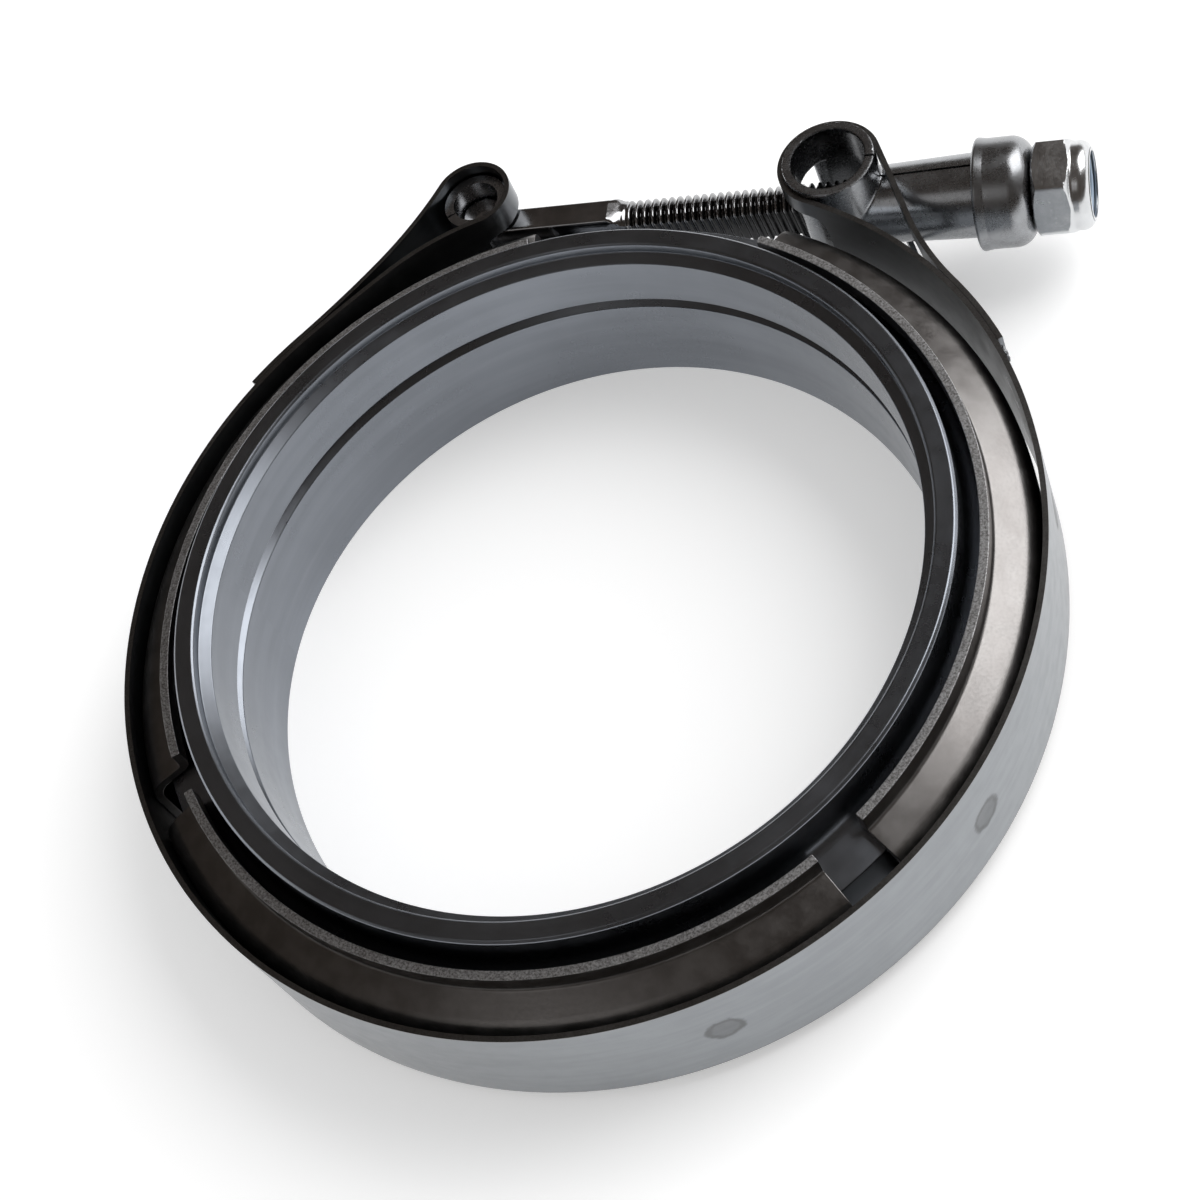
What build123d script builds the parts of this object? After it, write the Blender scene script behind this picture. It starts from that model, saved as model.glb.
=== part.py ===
from build123d import *
import os
from math import atan2, cos, degrees, hypot, radians, sin, sqrt, tan

# V-band clamp closed round its two weld flanges. Three V-shaped retainers are welded inside a
# flat strap. The strap's ends are folded into loops: the left one holds a trunnion with the
# T-bolt's head, and the right one holds a saddle, whose sleeve carries the nut.
# Millimetres. The origin is on the ring's axis at the rear flange's end face, +Z points to the
# front flange, and +Y points to the latch. Angles are in degrees, counted from +X.

# Tube and flanges: walls counted outwards from the tube, heights from the plane where rims meet
TUBE_D = 101.6            # the tube that slips into the front flange's seat
TUBE_PLAY = 0.0
SEAT_LEDGE = 1.6          # from the bore to the seat's wall
NECK_WALL = 3.0           # round the seat
RIM_WALL = 5.9            # from the neck to the rim's outside
PILOT_WALL = 5.35         # thickness of the rear flange's raised ring, which centres the front
REAR_NECK = 3.42          # straight part of each neck
FRONT_NECK = 6.22
RIM_ROOT = 9.18           # from the meeting plane to the bevel's root at the neck
CONE_ANGLE = 20.0         # bevel of the rims and of the retainers' legs
PILOT_RISE = 3.6
SEAT_DEPTH = 2.5
SEAT_STEP = 0.8           # height of the sloped step at the bottom of the seat
NECK_FILLET = 2.5
NECK_CHAMFER = 0.4
MOUTH_CHAMFER = 0.3
THROAT_CHAMFER = 0.9      # on the two bore edges that face each other
RIM_BREAK = 0.4
PILOT_CLEARANCE = 0.2
PILOT_END_GAP = 0.15

# Retainers: the angle where each starts, the angle it covers, and where it is welded
RETAINER_ANGLES = {
    "right_retainer": (-37.2, 106.2, (-25.7, 14.0)),
    "lower_retainer": (-143.7, 99.3, (-63.3, -122.7)),
    "left_retainer": (105.0, 105.2, (157.0, 203.0)),
}
RETAINER_T = 1.25
CONE_CLEARANCE = 0.2
LIP_GAP = 2.2             # between the necks and the turned-out lips
LIP_LENGTH = 3.3          # from the corner of leg and lip to the lip's edge
WEB_GAP = 2.27            # between the rims and the web
WEB_BEND = 3.2            # bend radii on the middle of the sheet
LIP_BEND = 1.3

# Strap
STRAP_W = 19.0
STRAP_T = 0.75
LAYER_GAP = 0.03          # between the strap and the retainers welded to it
TAIL_GAP = 0.06           # between a tail and the band under it
NUGGET_D = 2.2            # weld that joins a tail to the band
WELD_D = 5.4              # marks of the spot welds over the retainers
WELD_DEPTH = 0.12

# Ends of the strap: the band swings out of the ring by a rise to run under each loop
HEAD_RISE = 2.7
HEAD_ANGLE = 112.1        # of the left loop's centre
HEAD_RISE_ANGLE = 139.0   # where the band starts to rise
HEAD_TAIL_ANGLE = 140.0   # where the tail leaves the ring for the loop
HEAD_END_ANGLE = 148.6    # of the tail's end
HEAD_FOLD_ANGLE = 160.0   # where the tail meets the loop
SADDLE_RISE = 2.8
SADDLE_ANGLE = 67.83
SADDLE_RISE_ANGLE = -8.0
SADDLE_TAIL_ANGLE = 42.0
SADDLE_END_ANGLE = 30.2
SADDLE_FOLD_ANGLE = 25.0

# Trunnion and T-bolt
HEAD_D = 6.6
HEAD_PLAY = 0.2
TRUNNION_T = 1.4
TRUNNION_LENGTH = 15.3
TRUNNION_PLAY = 0.325
TRUNNION_SEAM = 0.25
SEAM_ANGLE = 215.0
SHANK_T, SHANK_W = 4.5, 9.4
SHANK_ROUND = 0.9
SHANK_PLAY = 0.15
HEEL_ROUND = 1.6          # on the shank's inner corner, which lies in the trunnion's wall
THREAD_D = 8.0
SHANK_LENGTH = 20.2       # from the trunnion's middle to the taper
SHANK_TAPER = 2.3
THREAD_CHAMFER = 0.7
BOLT_DROP = 0.7           # the bolt crosses the barrel this far below its middle
BOLT_TILT = 2.6

# Saddle: a sheet rolled round the barrel, whose two ends are half-pipes that form the sleeve
SADDLE_T = 1.4
BARREL_SHOULDER = 1.1     # how much the barrel's radius exceeds the sleeve's
BARREL_LENGTH = 20.8
BARREL_BREAK = 0.2
LOOP_PLAY = 0.06          # between the barrel and the strap round it
WINDOW_W = 9.8            # opening where the bolt enters the barrel
WINDOW_ROUND = 2.4
BOLT_PLAY = 0.3
SLEEVE_PLAY = 0.2         # round the thread at the barrel
SLEEVE_FLARE = 0.65       # how much the sleeve widens to the collar
SLEEVE_END = 24.9         # where the collar's inner corner begins to curve
SEAM_W = 0.4
SEAM_RISE = 0.5
COLLAR_T = 1.5
COLLAR_LENGTH = 7.9
COLLAR_GAP = 0.1
COLLAR_ROUND = 3.0
COLLAR_FLARE = 0.25
FLARE_LENGTH = 1.6

# Lock nut
NUT_WALL = 2.5            # from the thread to the flats
NUT_TURN = 9.0            # turns a corner of the nut to face the front left
NUT_HEIGHT = 8.0
NUT_HEX = 4.6
NUT_DOME_INSET = 0.2      # between the flats and the round end's side
NUT_DOME_ROUND = 1.6
NUT_CHAMFER = 0.8
NUT_GAP = 0.15            # between the collar and the nut
THREAD_PLAY = 0.06
INSERT_WALL = 1.2
INSERT_H = 2.2
INSERT_DEPTH = 0.6        # how far the insert lies below the nut's end
INSERT_PLAY = 0.02
BOLT_SHORT = 1.2          # how far the bolt stops short of the insert's face

# Slots in the loops, with their clearance on each side and the angles on the loops they cover
HEAD_SLOT_PLAY = 0.4
HEAD_SLOT_ROUND = 2.0
HEAD_SLOT_ANGLES = (-50.0, 62.0)
SADDLE_SLOT_PLAY = 0.25
SADDLE_SLOT_ROUND = 3.0
SADDLE_SLOT_ANGLE = 245.0
SADDLE_SLOT_TAIL = 2.9    # length past the middle of the tail's bend
END_REACH = 1.1           # length of the cutter for a slot's end, in corner radii
CUT_THROUGH = 2.4         # thickness of a slot's cutters, in strap thicknesses


def polar(radius, angle, centre=(0.0, 0.0)):
    """Point at an angle round a centre."""
    return (centre[0] + radius * cos(radians(angle)), centre[1] + radius * sin(radians(angle)))


slope = tan(radians(CONE_ANGLE))
seat_r = TUBE_D / 2 + TUBE_PLAY
bore_r = seat_r - SEAT_LEDGE
neck_r = seat_r + NECK_WALL
rim_r = neck_r + RIM_WALL
pilot_r = bore_r + PILOT_WALL
meeting_z = REAR_NECK + RIM_ROOT
top_z = meeting_z + RIM_ROOT + FRONT_NECK
web_r = rim_r + WEB_GAP + RETAINER_T / 2
band_r = web_r + RETAINER_T / 2 + LAYER_GAP + STRAP_T / 2
tail_step = STRAP_T + TAIL_GAP
thread_r = THREAD_D / 2
head_r = HEAD_D / 2
trunnion_bore_r = head_r + HEAD_PLAY
trunnion_r = trunnion_bore_r + TRUNNION_T
head_loop_r = trunnion_r + TRUNNION_PLAY + STRAP_T / 2
head_centre = polar(band_r + HEAD_RISE + head_loop_r, HEAD_ANGLE)
sleeve_r = thread_r + SLEEVE_PLAY + SADDLE_T
sleeve_end_r = sleeve_r + SLEEVE_FLARE
barrel_r = sleeve_r + BARREL_SHOULDER
saddle_loop_r = barrel_r + LOOP_PLAY + STRAP_T / 2
barrel_centre = polar(band_r + SADDLE_RISE + saddle_loop_r, SADDLE_ANGLE)
head_s = (head_centre[0] - barrel_centre[0]) / cos(radians(BOLT_TILT))
taper_start = head_s + SHANK_LENGTH
thread_start = taper_start + SHANK_TAPER
collar_end = SLEEVE_END + COLLAR_ROUND
nut_start = collar_end + NUT_GAP
nut_end = nut_start + NUT_HEIGHT
nut_af = THREAD_D + 2 * NUT_WALL
insert_r = thread_r + INSERT_WALL
insert_end = nut_end - INSERT_DEPTH
bolt_end = insert_end - BOLT_SHORT
barrel_place = Location((*barrel_centre, meeting_z))
trunnion_place = Location((*head_centre, meeting_z))
bolt_place = Location((barrel_centre[0], barrel_centre[1] - BOLT_DROP, meeting_z), (0, 0, BOLT_TILT))


def turned(points, plane, axis, rounds=()):
    """Solid of revolution from an outline; each round is a corner and its radius."""
    with BuildPart() as part:
        with BuildSketch(plane) as outline:
            with BuildLine():
                Polyline(*points, close=True)
            make_face()
            for corner, radius in rounds:
                fillet(outline.vertices().sort_by_distance(Vector(*corner))[0], radius)
        revolve(axis=axis)
    return part.part


def turned_ring(points, rounds=()):
    """Ring round Z from (radius, height) points."""
    return turned(points, Plane.XZ, Axis.Z, rounds)


def turned_on_bolt(points, rounds=()):
    """Ring round the bolt's line from (distance along it, radius) points."""
    return turned(points, Plane.XY, Axis.X, rounds)


def cone_height(radius):
    """Height of a rim's bevel above the meeting plane."""
    return RIM_ROOT - (radius - neck_r) * slope


def front_flange():
    """Female flange: tube seat at the front, recess for the pilot ring at the back."""
    recess_r = pilot_r + PILOT_CLEARANCE
    recess_z = meeting_z + PILOT_RISE + PILOT_END_GAP
    step_z = top_z - SEAT_DEPTH
    root = (neck_r, meeting_z + RIM_ROOT)
    return turned_ring([
        (bore_r, recess_z + THROAT_CHAMFER),
        (bore_r, step_z),
        (seat_r, step_z + SEAT_STEP),
        (seat_r, top_z - MOUTH_CHAMFER),
        (seat_r + MOUTH_CHAMFER, top_z),
        (neck_r - NECK_CHAMFER, top_z),
        (neck_r, top_z - NECK_CHAMFER),
        root,
        (rim_r, meeting_z + cone_height(rim_r)),
        (rim_r, meeting_z + RIM_BREAK),
        (rim_r - RIM_BREAK, meeting_z),
        (recess_r, meeting_z),
        (recess_r, recess_z),
        (bore_r + THROAT_CHAMFER, recess_z),
    ], rounds=[(root, NECK_FILLET)])


def rear_flange():
    """Male flange: plain neck at the back, pilot ring at the front."""
    pilot_top = meeting_z + PILOT_RISE
    root = (neck_r, meeting_z - RIM_ROOT)
    return turned_ring([
        (bore_r, 0),
        (neck_r - NECK_CHAMFER, 0),
        (neck_r, NECK_CHAMFER),
        root,
        (rim_r, meeting_z - cone_height(rim_r)),
        (rim_r, meeting_z - RIM_BREAK),
        (rim_r - RIM_BREAK, meeting_z),
        (pilot_r, meeting_z),
        (pilot_r, pilot_top - RIM_BREAK),
        (pilot_r - RIM_BREAK, pilot_top),
        (bore_r + THROAT_CHAMFER, pilot_top),
        (bore_r, pilot_top - THROAT_CHAMFER),
    ], rounds=[(root, NECK_FILLET)])


def retainer(start, arc):
    """One length of the V section: web on the strap, two legs on the bevels, two lips."""
    lip_r = neck_r + LIP_GAP + RETAINER_T / 2
    lift = (CONE_CLEARANCE + RETAINER_T / 2) / cos(radians(CONE_ANGLE))
    half = [(radius, cone_height(radius) + lift) for radius in (web_r, lip_r)]
    half.append((lip_r, cone_height(lip_r) + lift + LIP_LENGTH))
    mirrored = [(radius, -height) for radius, height in reversed(half)]
    section = [(radius, meeting_z + height) for radius, height in mirrored + half]
    with BuildPart() as part:
        with BuildSketch(Plane.XZ):
            with BuildLine() as middle:
                FilletPolyline(*section, radius=[LIP_BEND, WEB_BEND, WEB_BEND, LIP_BEND])
            trace(middle.edges(), line_width=RETAINER_T)
        revolve(axis=Axis.Z, revolution_arc=arc)
    return part.part.rotate(Axis.Z, start)


def bend_between(start, start_angle, end, end_angle):
    """Middle of two arcs that join two points along given directions and meet with equal tangents.

    With the unit directions t and u at the ends and the chord v, the tangents' length d solves
    v.v - 2 d v.(t + u) = 2 d d (1 - t.u), and the middle is (start + end + d (t - u)) / 2.
    """
    start, end = Vector(*start), Vector(*end)
    leave, arrive = Vector(*polar(1, start_angle)), Vector(*polar(1, end_angle))
    chord = end - start
    spread = 2 * (1 - leave.dot(arrive))
    reach = chord.dot(leave + arrive)
    tangent = chord.dot(chord) / (reach + sqrt(reach ** 2 + spread * chord.dot(chord)))
    middle = (start + end + (leave - arrive) * tangent) / 2
    return (middle.X, middle.Y)


def rising_band(side, start_angle, rise, end_angle):
    """Start, middle and end of the band where it swings out of the ring by a rise."""
    start = polar(band_r, start_angle)
    end = polar(band_r + rise, end_angle)
    middle = bend_between(start, start_angle - side * 90, end, end_angle - side * 90)
    return start, middle, end


def arc_centre(start, direction, end):
    """Centre of the arc that leaves a point along a direction and reaches another."""
    chord = Vector(*end) - Vector(*start)
    across = Vector(*polar(1, direction + 90))
    radius = chord.dot(chord) / (2 * across.dot(chord))
    centre = Vector(*start) + across * radius
    return (centre.X, centre.Y)


def left_end():
    """Points of the strap's middle line at the left loop, whose tail lies on the ring."""
    tail_r = band_r + tail_step
    band = rising_band(1, HEAD_RISE_ANGLE, HEAD_RISE, HEAD_ANGLE)
    leave = polar(tail_r, HEAD_TAIL_ANGLE)
    fold = polar(head_loop_r, HEAD_FOLD_ANGLE, head_centre)
    bend = bend_between(leave, HEAD_TAIL_ANGLE - 90, fold, HEAD_FOLD_ANGLE - 90)
    lap_middle = (HEAD_END_ANGLE + HEAD_TAIL_ANGLE) / 2
    far_side = (HEAD_ANGLE + 180 + HEAD_FOLD_ANGLE) / 2 - 180
    return {
        "tail": (polar(tail_r, HEAD_END_ANGLE), polar(tail_r, lap_middle), leave),
        "to_loop": (leave, bend, fold),
        "loop": (fold, polar(head_loop_r, far_side, head_centre), band[2]),
        "band": band,
        "weld": (0.0, 0.0, band_r + tail_step / 2, lap_middle),
    }


def right_end():
    """Points of the strap's middle line at the right loop, whose tail lies on the rising band."""
    band = rising_band(-1, SADDLE_RISE_ANGLE, SADDLE_RISE, SADDLE_ANGLE)
    centre = arc_centre(band[2], SADDLE_ANGLE - 90, band[1])
    under_r = hypot(band[2][0] - centre[0], band[2][1] - centre[1])
    tail_r = under_r + tail_step
    leave = polar(tail_r, SADDLE_TAIL_ANGLE, centre)
    fold = polar(saddle_loop_r, SADDLE_FOLD_ANGLE, barrel_centre)
    bend = bend_between(leave, SADDLE_TAIL_ANGLE + 90, fold, SADDLE_FOLD_ANGLE + 90)
    lap_middle = (SADDLE_END_ANGLE + SADDLE_TAIL_ANGLE) / 2
    far_side = (SADDLE_ANGLE + 180 + SADDLE_FOLD_ANGLE) / 2
    return {
        "tail": (polar(tail_r, SADDLE_END_ANGLE, centre), polar(tail_r, lap_middle, centre), leave),
        "to_loop": (leave, bend, fold),
        "loop": (fold, polar(saddle_loop_r, far_side, barrel_centre), band[2]),
        "band": band,
        "weld": (*centre, under_r + tail_step / 2, lap_middle),
    }


def end_lines(end, side, leave_angle, fold_angle, band_angle):
    """Lines of one end: tail on the band, its bend out to the loop, the loop, and the band.

    They are made inside a BuildLine. The side is 1 for the left end and -1 for the right one.
    """
    ThreePointArc(*end["tail"])
    leave, bend, fold = end["to_loop"]
    TangentArc(leave, bend, tangent=polar(1, leave_angle - side * 90))
    TangentArc(fold, bend, tangent=polar(-1, fold_angle - side * 90))
    ThreePointArc(*end["loop"])
    start, middle, stop = end["band"]
    TangentArc(start, middle, tangent=polar(1, band_angle - side * 90))
    loop_angle = HEAD_ANGLE if side == 1 else SADDLE_ANGLE
    TangentArc(stop, middle, tangent=polar(-1, loop_angle - side * 90))


def strip(middle, thickness, width):
    """Strip of a thickness along a line in the XY plane, as wide as given along Z."""
    with BuildPart() as part:
        with BuildSketch(Plane.XY.offset(meeting_z - width / 2)):
            trace(middle.edges(), line_width=thickness)
        extrude(amount=width)
    return part.part


def slot_end(point, along, reach, width, corner):
    """Round-cornered cutter for a slot's end, square to the strap, that reaches past a point."""
    across = Plane(origin=(*point, meeting_z), x_dir=(*polar(1, along), 0),
                   z_dir=(*polar(1, along + 90), 0))
    with BuildPart() as part:
        with BuildSketch(across):
            RectangleRounded(2 * reach, width, corner)
        extrude(amount=CUT_THROUGH * STRAP_T / 2, both=True)
    return part.part


def head_slot():
    """Cutters of the slot in the left loop for the T-bolt's shank."""
    low, high = HEAD_SLOT_ANGLES
    ends = [polar(head_loop_r, angle, head_centre) for angle in (low, high)]
    with BuildLine() as middle:
        ThreePointArc(ends[0], polar(head_loop_r, (low + high) / 2, head_centre), ends[1])
    width = SHANK_W + 2 * HEAD_SLOT_PLAY
    reach = END_REACH * HEAD_SLOT_ROUND
    cutters = [strip(middle, CUT_THROUGH * STRAP_T, width)]
    for point, angle in zip(ends, (low, high)):
        cutters.append(slot_end(point, angle + 90, reach, width, HEAD_SLOT_ROUND))
    return cutters


def saddle_slot(end):
    """Cutters of the slot in the right loop and its tail for the bolt and the saddle's sleeve."""
    leave, bend, fold = end["to_loop"]
    low = polar(saddle_loop_r, SADDLE_SLOT_ANGLE, barrel_centre)
    top = polar(saddle_loop_r, (SADDLE_SLOT_ANGLE + SADDLE_FOLD_ANGLE) / 2, barrel_centre)
    with BuildLine() as middle:
        ThreePointArc(low, top, fold)
        turn = TangentArc(fold, bend, tangent=polar(1, SADDLE_FOLD_ANGLE - 90))
        along = turn.tangent_at(1)
        last = turn.position_at(1) + along * SADDLE_SLOT_TAIL
        Line(bend, (last.X, last.Y))
    width = 2 * (sleeve_end_r + SADDLE_SLOT_PLAY)
    reach = END_REACH * SADDLE_SLOT_ROUND
    tail_angle = degrees(atan2(along.Y, along.X))
    ends = (((last.X, last.Y), tail_angle), (low, SADDLE_SLOT_ANGLE + 90))
    cutters = [strip(middle, CUT_THROUGH * STRAP_T, width)]
    for point, angle in ends:
        cutters.append(slot_end(point, angle, reach, width, SADDLE_SLOT_ROUND))
    return cutters


def round_on_strap(radius, angle, diameter, depth, centre=(0.0, 0.0)):
    """Disc through the strap's wall, square to it, at a radius and an angle round a centre."""
    outward = Location((*centre, meeting_z), (0, 0, angle)) * Location((radius, 0, 0), (0, 90, 0))
    return Cylinder(diameter / 2, depth).moved(outward)


def band_strap():
    """One strip: the band, two loops folded back to it, slots, and the marks of the welds."""
    left, right = left_end(), right_end()
    with BuildLine() as middle:
        end_lines(left, 1, HEAD_TAIL_ANGLE, HEAD_FOLD_ANGLE, HEAD_RISE_ANGLE)
        ThreePointArc(left["band"][0], polar(band_r, -90), right["band"][0])
        end_lines(right, -1, SADDLE_TAIL_ANGLE, SADDLE_FOLD_ANGLE, SADDLE_RISE_ANGLE)
    band = strip(middle, STRAP_T, STRAP_W)
    for cutter in head_slot() + saddle_slot(right):
        band -= cutter
    for x, y, radius, angle in (left["weld"], right["weld"]):
        band += round_on_strap(radius, angle, NUGGET_D, STRAP_T, (x, y))
    for _, _, welds in RETAINER_ANGLES.values():
        for angle in welds:
            band -= round_on_strap(band_r + STRAP_T / 2, angle, WELD_D, 2 * WELD_DEPTH)
    return band


def bolt_trunnion():
    """Tube rolled round the T-bolt's head, open towards the bolt, with a seam along it."""
    tube = Cylinder(trunnion_r, TRUNNION_LENGTH) - Cylinder(trunnion_bore_r, TRUNNION_LENGTH)
    to_one_side = (Align.MIN, Align.CENTER, Align.CENTER)
    seam = Box(2 * trunnion_r, TRUNNION_SEAM, TRUNNION_LENGTH, align=to_one_side)
    tube = tube.moved(trunnion_place) - seam.rotate(Axis.Z, SEAM_ANGLE).moved(trunnion_place)
    return tube - shank_bar(SHANK_PLAY)


def shank_bar(play):
    """Flat bar of the shank from the trunnion to the thread, grown by a play all round."""
    start = head_s - play
    bar = Box(thread_start - start, SHANK_T + 2 * play, SHANK_W + 2 * play)
    bar = bar.moved(Location(((thread_start + start) / 2, 0, 0)))
    heel = bar.edges().filter_by(Axis.Z).group_by(Axis.X)[0].sort_by(Axis.Y)[0]
    bar = fillet(heel, HEEL_ROUND)
    bar = fillet(bar.edges().filter_by(Axis.X), SHANK_ROUND)
    return bar.moved(bolt_place)


def t_bolt():
    """Round head in the trunnion, flat shank that tapers to the thread, and the threaded rod."""
    head = Cylinder(head_r, SHANK_W).moved(trunnion_place)
    shank_start = 2 * head_s
    outer_r = hypot(SHANK_T, SHANK_W)
    waist = turned_on_bolt([
        (shank_start, 0),
        (shank_start, outer_r),
        (taper_start - outer_r, outer_r),
        (taper_start, SHANK_W / 2),
        (thread_start, thread_r - THREAD_CHAMFER / 2),
        (thread_start, 0),
    ])
    rod = turned_on_bolt([
        (taper_start, 0),
        (taper_start, SHANK_T / 2),
        (thread_start, thread_r - THREAD_CHAMFER / 2),
        (thread_start + THREAD_CHAMFER / 2, thread_r),
        (bolt_end - THREAD_CHAMFER, thread_r),
        (bolt_end, thread_r - THREAD_CHAMFER),
        (bolt_end, 0),
    ])
    shank = shank_bar(0) & waist.moved(bolt_place)
    return head + shank + rod.moved(bolt_place)


def saddle():
    """Barrel across the strap and sleeve round the bolt, from one sheet with a seam each side."""
    barrel = Cylinder(barrel_r, BARREL_LENGTH)
    barrel = chamfer(barrel.edges().filter_by(GeomType.CIRCLE), BARREL_BREAK)
    sleeve = turned_on_bolt([
        (0, 0),
        (0, sleeve_r),
        (barrel_r, sleeve_r),
        (SLEEVE_END, sleeve_end_r),
        (SLEEVE_END, 0),
    ])
    passage = turned_on_bolt([
        (0, 0),
        (0, sleeve_r - SADDLE_T),
        (barrel_r, sleeve_r - SADDLE_T),
        (SLEEVE_END, sleeve_end_r - SADDLE_T),
        (SLEEVE_END, 0),
    ])
    barrel_bore = Cylinder(barrel_r - SADDLE_T, BARREL_LENGTH)
    with BuildPart() as window:
        with BuildSketch(Plane.YZ):
            RectangleRounded(WINDOW_W, THREAD_D + 2 * BOLT_PLAY, WINDOW_ROUND)
        extrude(amount=-2 * barrel_r)
    seam = Box(SLEEVE_END, SEAM_W, BARREL_LENGTH, align=(Align.MIN, Align.CENTER, Align.CENTER))
    seam = seam.moved(Location((0, SEAM_RISE, 0)))
    body = barrel.moved(barrel_place) + sleeve.moved(bolt_place)
    body = body - barrel_bore.moved(barrel_place) - window.part.moved(barrel_place)
    return body - passage.moved(bolt_place) - seam.moved(bolt_place)


def sleeve_collar():
    """Drawn cup over the sleeve's end that holds its halves together and carries the nut."""
    inner = sleeve_end_r + COLLAR_GAP
    outer = inner + COLLAR_T
    hole = thread_r + BOLT_PLAY
    start = collar_end - COLLAR_LENGTH
    floor = collar_end - COLLAR_T
    return turned_on_bolt([
        (start, inner + COLLAR_FLARE),
        (start, outer + COLLAR_FLARE),
        (start + FLARE_LENGTH, outer),
        (collar_end, outer),
        (collar_end, hole),
        (floor, hole),
        (floor, inner),
        (start + FLARE_LENGTH, inner),
    ], rounds=[
        ((collar_end, outer), COLLAR_ROUND),
        ((floor, inner), COLLAR_ROUND - COLLAR_T),
    ]).moved(bolt_place)


def lock_nut():
    """Six-sided nut with a round end that holds the insert."""
    with BuildPart() as prism:
        with BuildSketch(Plane.YZ.offset(nut_start)):
            RegularPolygon(nut_af / 2, 6, major_radius=False, rotation=NUT_TURN)
        extrude(amount=NUT_HEIGHT)
    bore = thread_r + THREAD_PLAY
    corner = nut_af / 2 / cos(radians(30))
    dome_r = nut_af / 2 - NUT_DOME_INSET
    recess = insert_end - INSERT_H
    envelope = turned_on_bolt([
        (nut_start, bore),
        (nut_start, nut_af / 2 - NUT_CHAMFER / 2),
        (nut_start + NUT_CHAMFER, corner),
        (nut_start + NUT_HEX, corner),
        (nut_start + NUT_HEX + NUT_CHAMFER, dome_r),
        (nut_end, dome_r),
        (nut_end, insert_r - INSERT_DEPTH),
        (insert_end, insert_r),
        (recess, insert_r),
        (recess, bore),
    ], rounds=[((nut_end, dome_r), NUT_DOME_ROUND)])
    return (prism.part & envelope).moved(bolt_place)


def nut_insert():
    """Ring in the nut's end that grips the thread."""
    outer = insert_r - INSERT_PLAY
    inner = thread_r + THREAD_PLAY
    start = insert_end - INSERT_H + INSERT_PLAY
    end = insert_end - INSERT_PLAY
    return turned_on_bolt([
        (start, inner),
        (start, outer),
        (end, outer),
        (end, inner),
    ]).moved(bolt_place)


def pieces():
    """Every separate piece with its name."""
    yield "rear_flange", rear_flange()
    yield "front_flange", front_flange()
    for name, (start, arc, _) in RETAINER_ANGLES.items():
        yield name, retainer(start, arc)
    yield "band_strap", band_strap()
    yield "bolt_trunnion", bolt_trunnion()
    yield "t_bolt", t_bolt()
    yield "saddle", saddle()
    yield "sleeve_collar", sleeve_collar()
    yield "lock_nut", lock_nut()
    yield "nut_insert", nut_insert()


os.makedirs("parts", exist_ok=True)
for piece_name, solid in pieces():
    solid.label = piece_name
    export_step(solid, f"parts/{piece_name}.step")
    print(piece_name, round(solid.volume, 1), "mm3")
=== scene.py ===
"""Looks of a V-band clamp closed round its two weld flanges.

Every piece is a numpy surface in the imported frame. Sizes are in millimetres and become metres
when a mesh is made. The ring's axis is Z, the latch lies at +Y, and the bolt runs along +X.
"""

import logging
import math
from collections.abc import Callable
from dataclasses import dataclass, field
from enum import Enum

import bmesh
import bpy
import numpy as np
from mathutils import Matrix, Vector


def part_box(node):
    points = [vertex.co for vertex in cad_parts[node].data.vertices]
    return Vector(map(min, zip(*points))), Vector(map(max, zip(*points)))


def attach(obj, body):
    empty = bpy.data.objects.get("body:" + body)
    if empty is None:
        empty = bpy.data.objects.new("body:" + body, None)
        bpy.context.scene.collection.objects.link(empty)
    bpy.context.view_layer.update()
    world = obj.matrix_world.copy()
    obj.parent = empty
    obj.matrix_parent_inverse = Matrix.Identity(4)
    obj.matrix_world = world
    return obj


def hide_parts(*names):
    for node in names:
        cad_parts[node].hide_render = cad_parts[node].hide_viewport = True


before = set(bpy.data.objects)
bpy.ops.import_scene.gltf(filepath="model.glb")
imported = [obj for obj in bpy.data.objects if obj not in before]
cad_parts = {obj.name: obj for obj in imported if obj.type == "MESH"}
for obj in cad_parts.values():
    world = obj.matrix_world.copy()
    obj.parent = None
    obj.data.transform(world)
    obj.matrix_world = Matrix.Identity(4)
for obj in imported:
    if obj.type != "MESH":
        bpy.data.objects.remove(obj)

LOG = logging.getLogger("v_band_clamp")
MM = 0.001
MERGE = 0.002 * MM
FLAT = 0.001 * MM
EDGE_ANGLE = 35.0
RING_COUNT = 360
TUBE_COUNT = 96


def frame_box(node: str) -> tuple[np.ndarray, np.ndarray]:
    """Box of a CAD node in millimetres.

    Args:
        node: The node's name.

    Returns:
        The lowest and the highest corner.
    """
    low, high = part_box(node)
    return np.array(low) / MM, np.array(high) / MM


def arc(centre: tuple[float, float], radius: float, start: float, end: float,
        step: float) -> np.ndarray:
    """Points on a circular arc, centre + radius * (cos a, sin a).

    Args:
        centre: Centre of the arc.
        radius: Radius of the arc.
        start: First angle in degrees.
        end: Last angle in degrees.
        step: Longest distance between two points along the arc.

    Returns:
        Points of shape (n, 2), with both ends.
    """
    length = abs(math.radians(end - start)) * radius
    count = max(3, math.ceil(length / step) + 1)
    angle = np.radians(np.linspace(start, end, count))
    return np.stack([centre[0] + radius * np.cos(angle), centre[1] + radius * np.sin(angle)], 1)


def heading(angle: float) -> np.ndarray:
    """Unit vector at an angle in degrees."""
    return np.array([math.cos(math.radians(angle)), math.sin(math.radians(angle))])


def arc_centre(start: np.ndarray, angle: float, end: np.ndarray) -> np.ndarray:
    """Centre of the arc that leaves a point along an angle and reaches another.

    It lies to the left by chord . chord / (2 left . chord), which is negative on the right.

    Args:
        start: First point.
        angle: Direction at the first point in degrees.
        end: Last point.

    Returns:
        The centre.
    """
    chord, left = end - start, heading(angle + 90)
    return start + left * (chord @ chord) / (2 * left @ chord)


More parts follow.
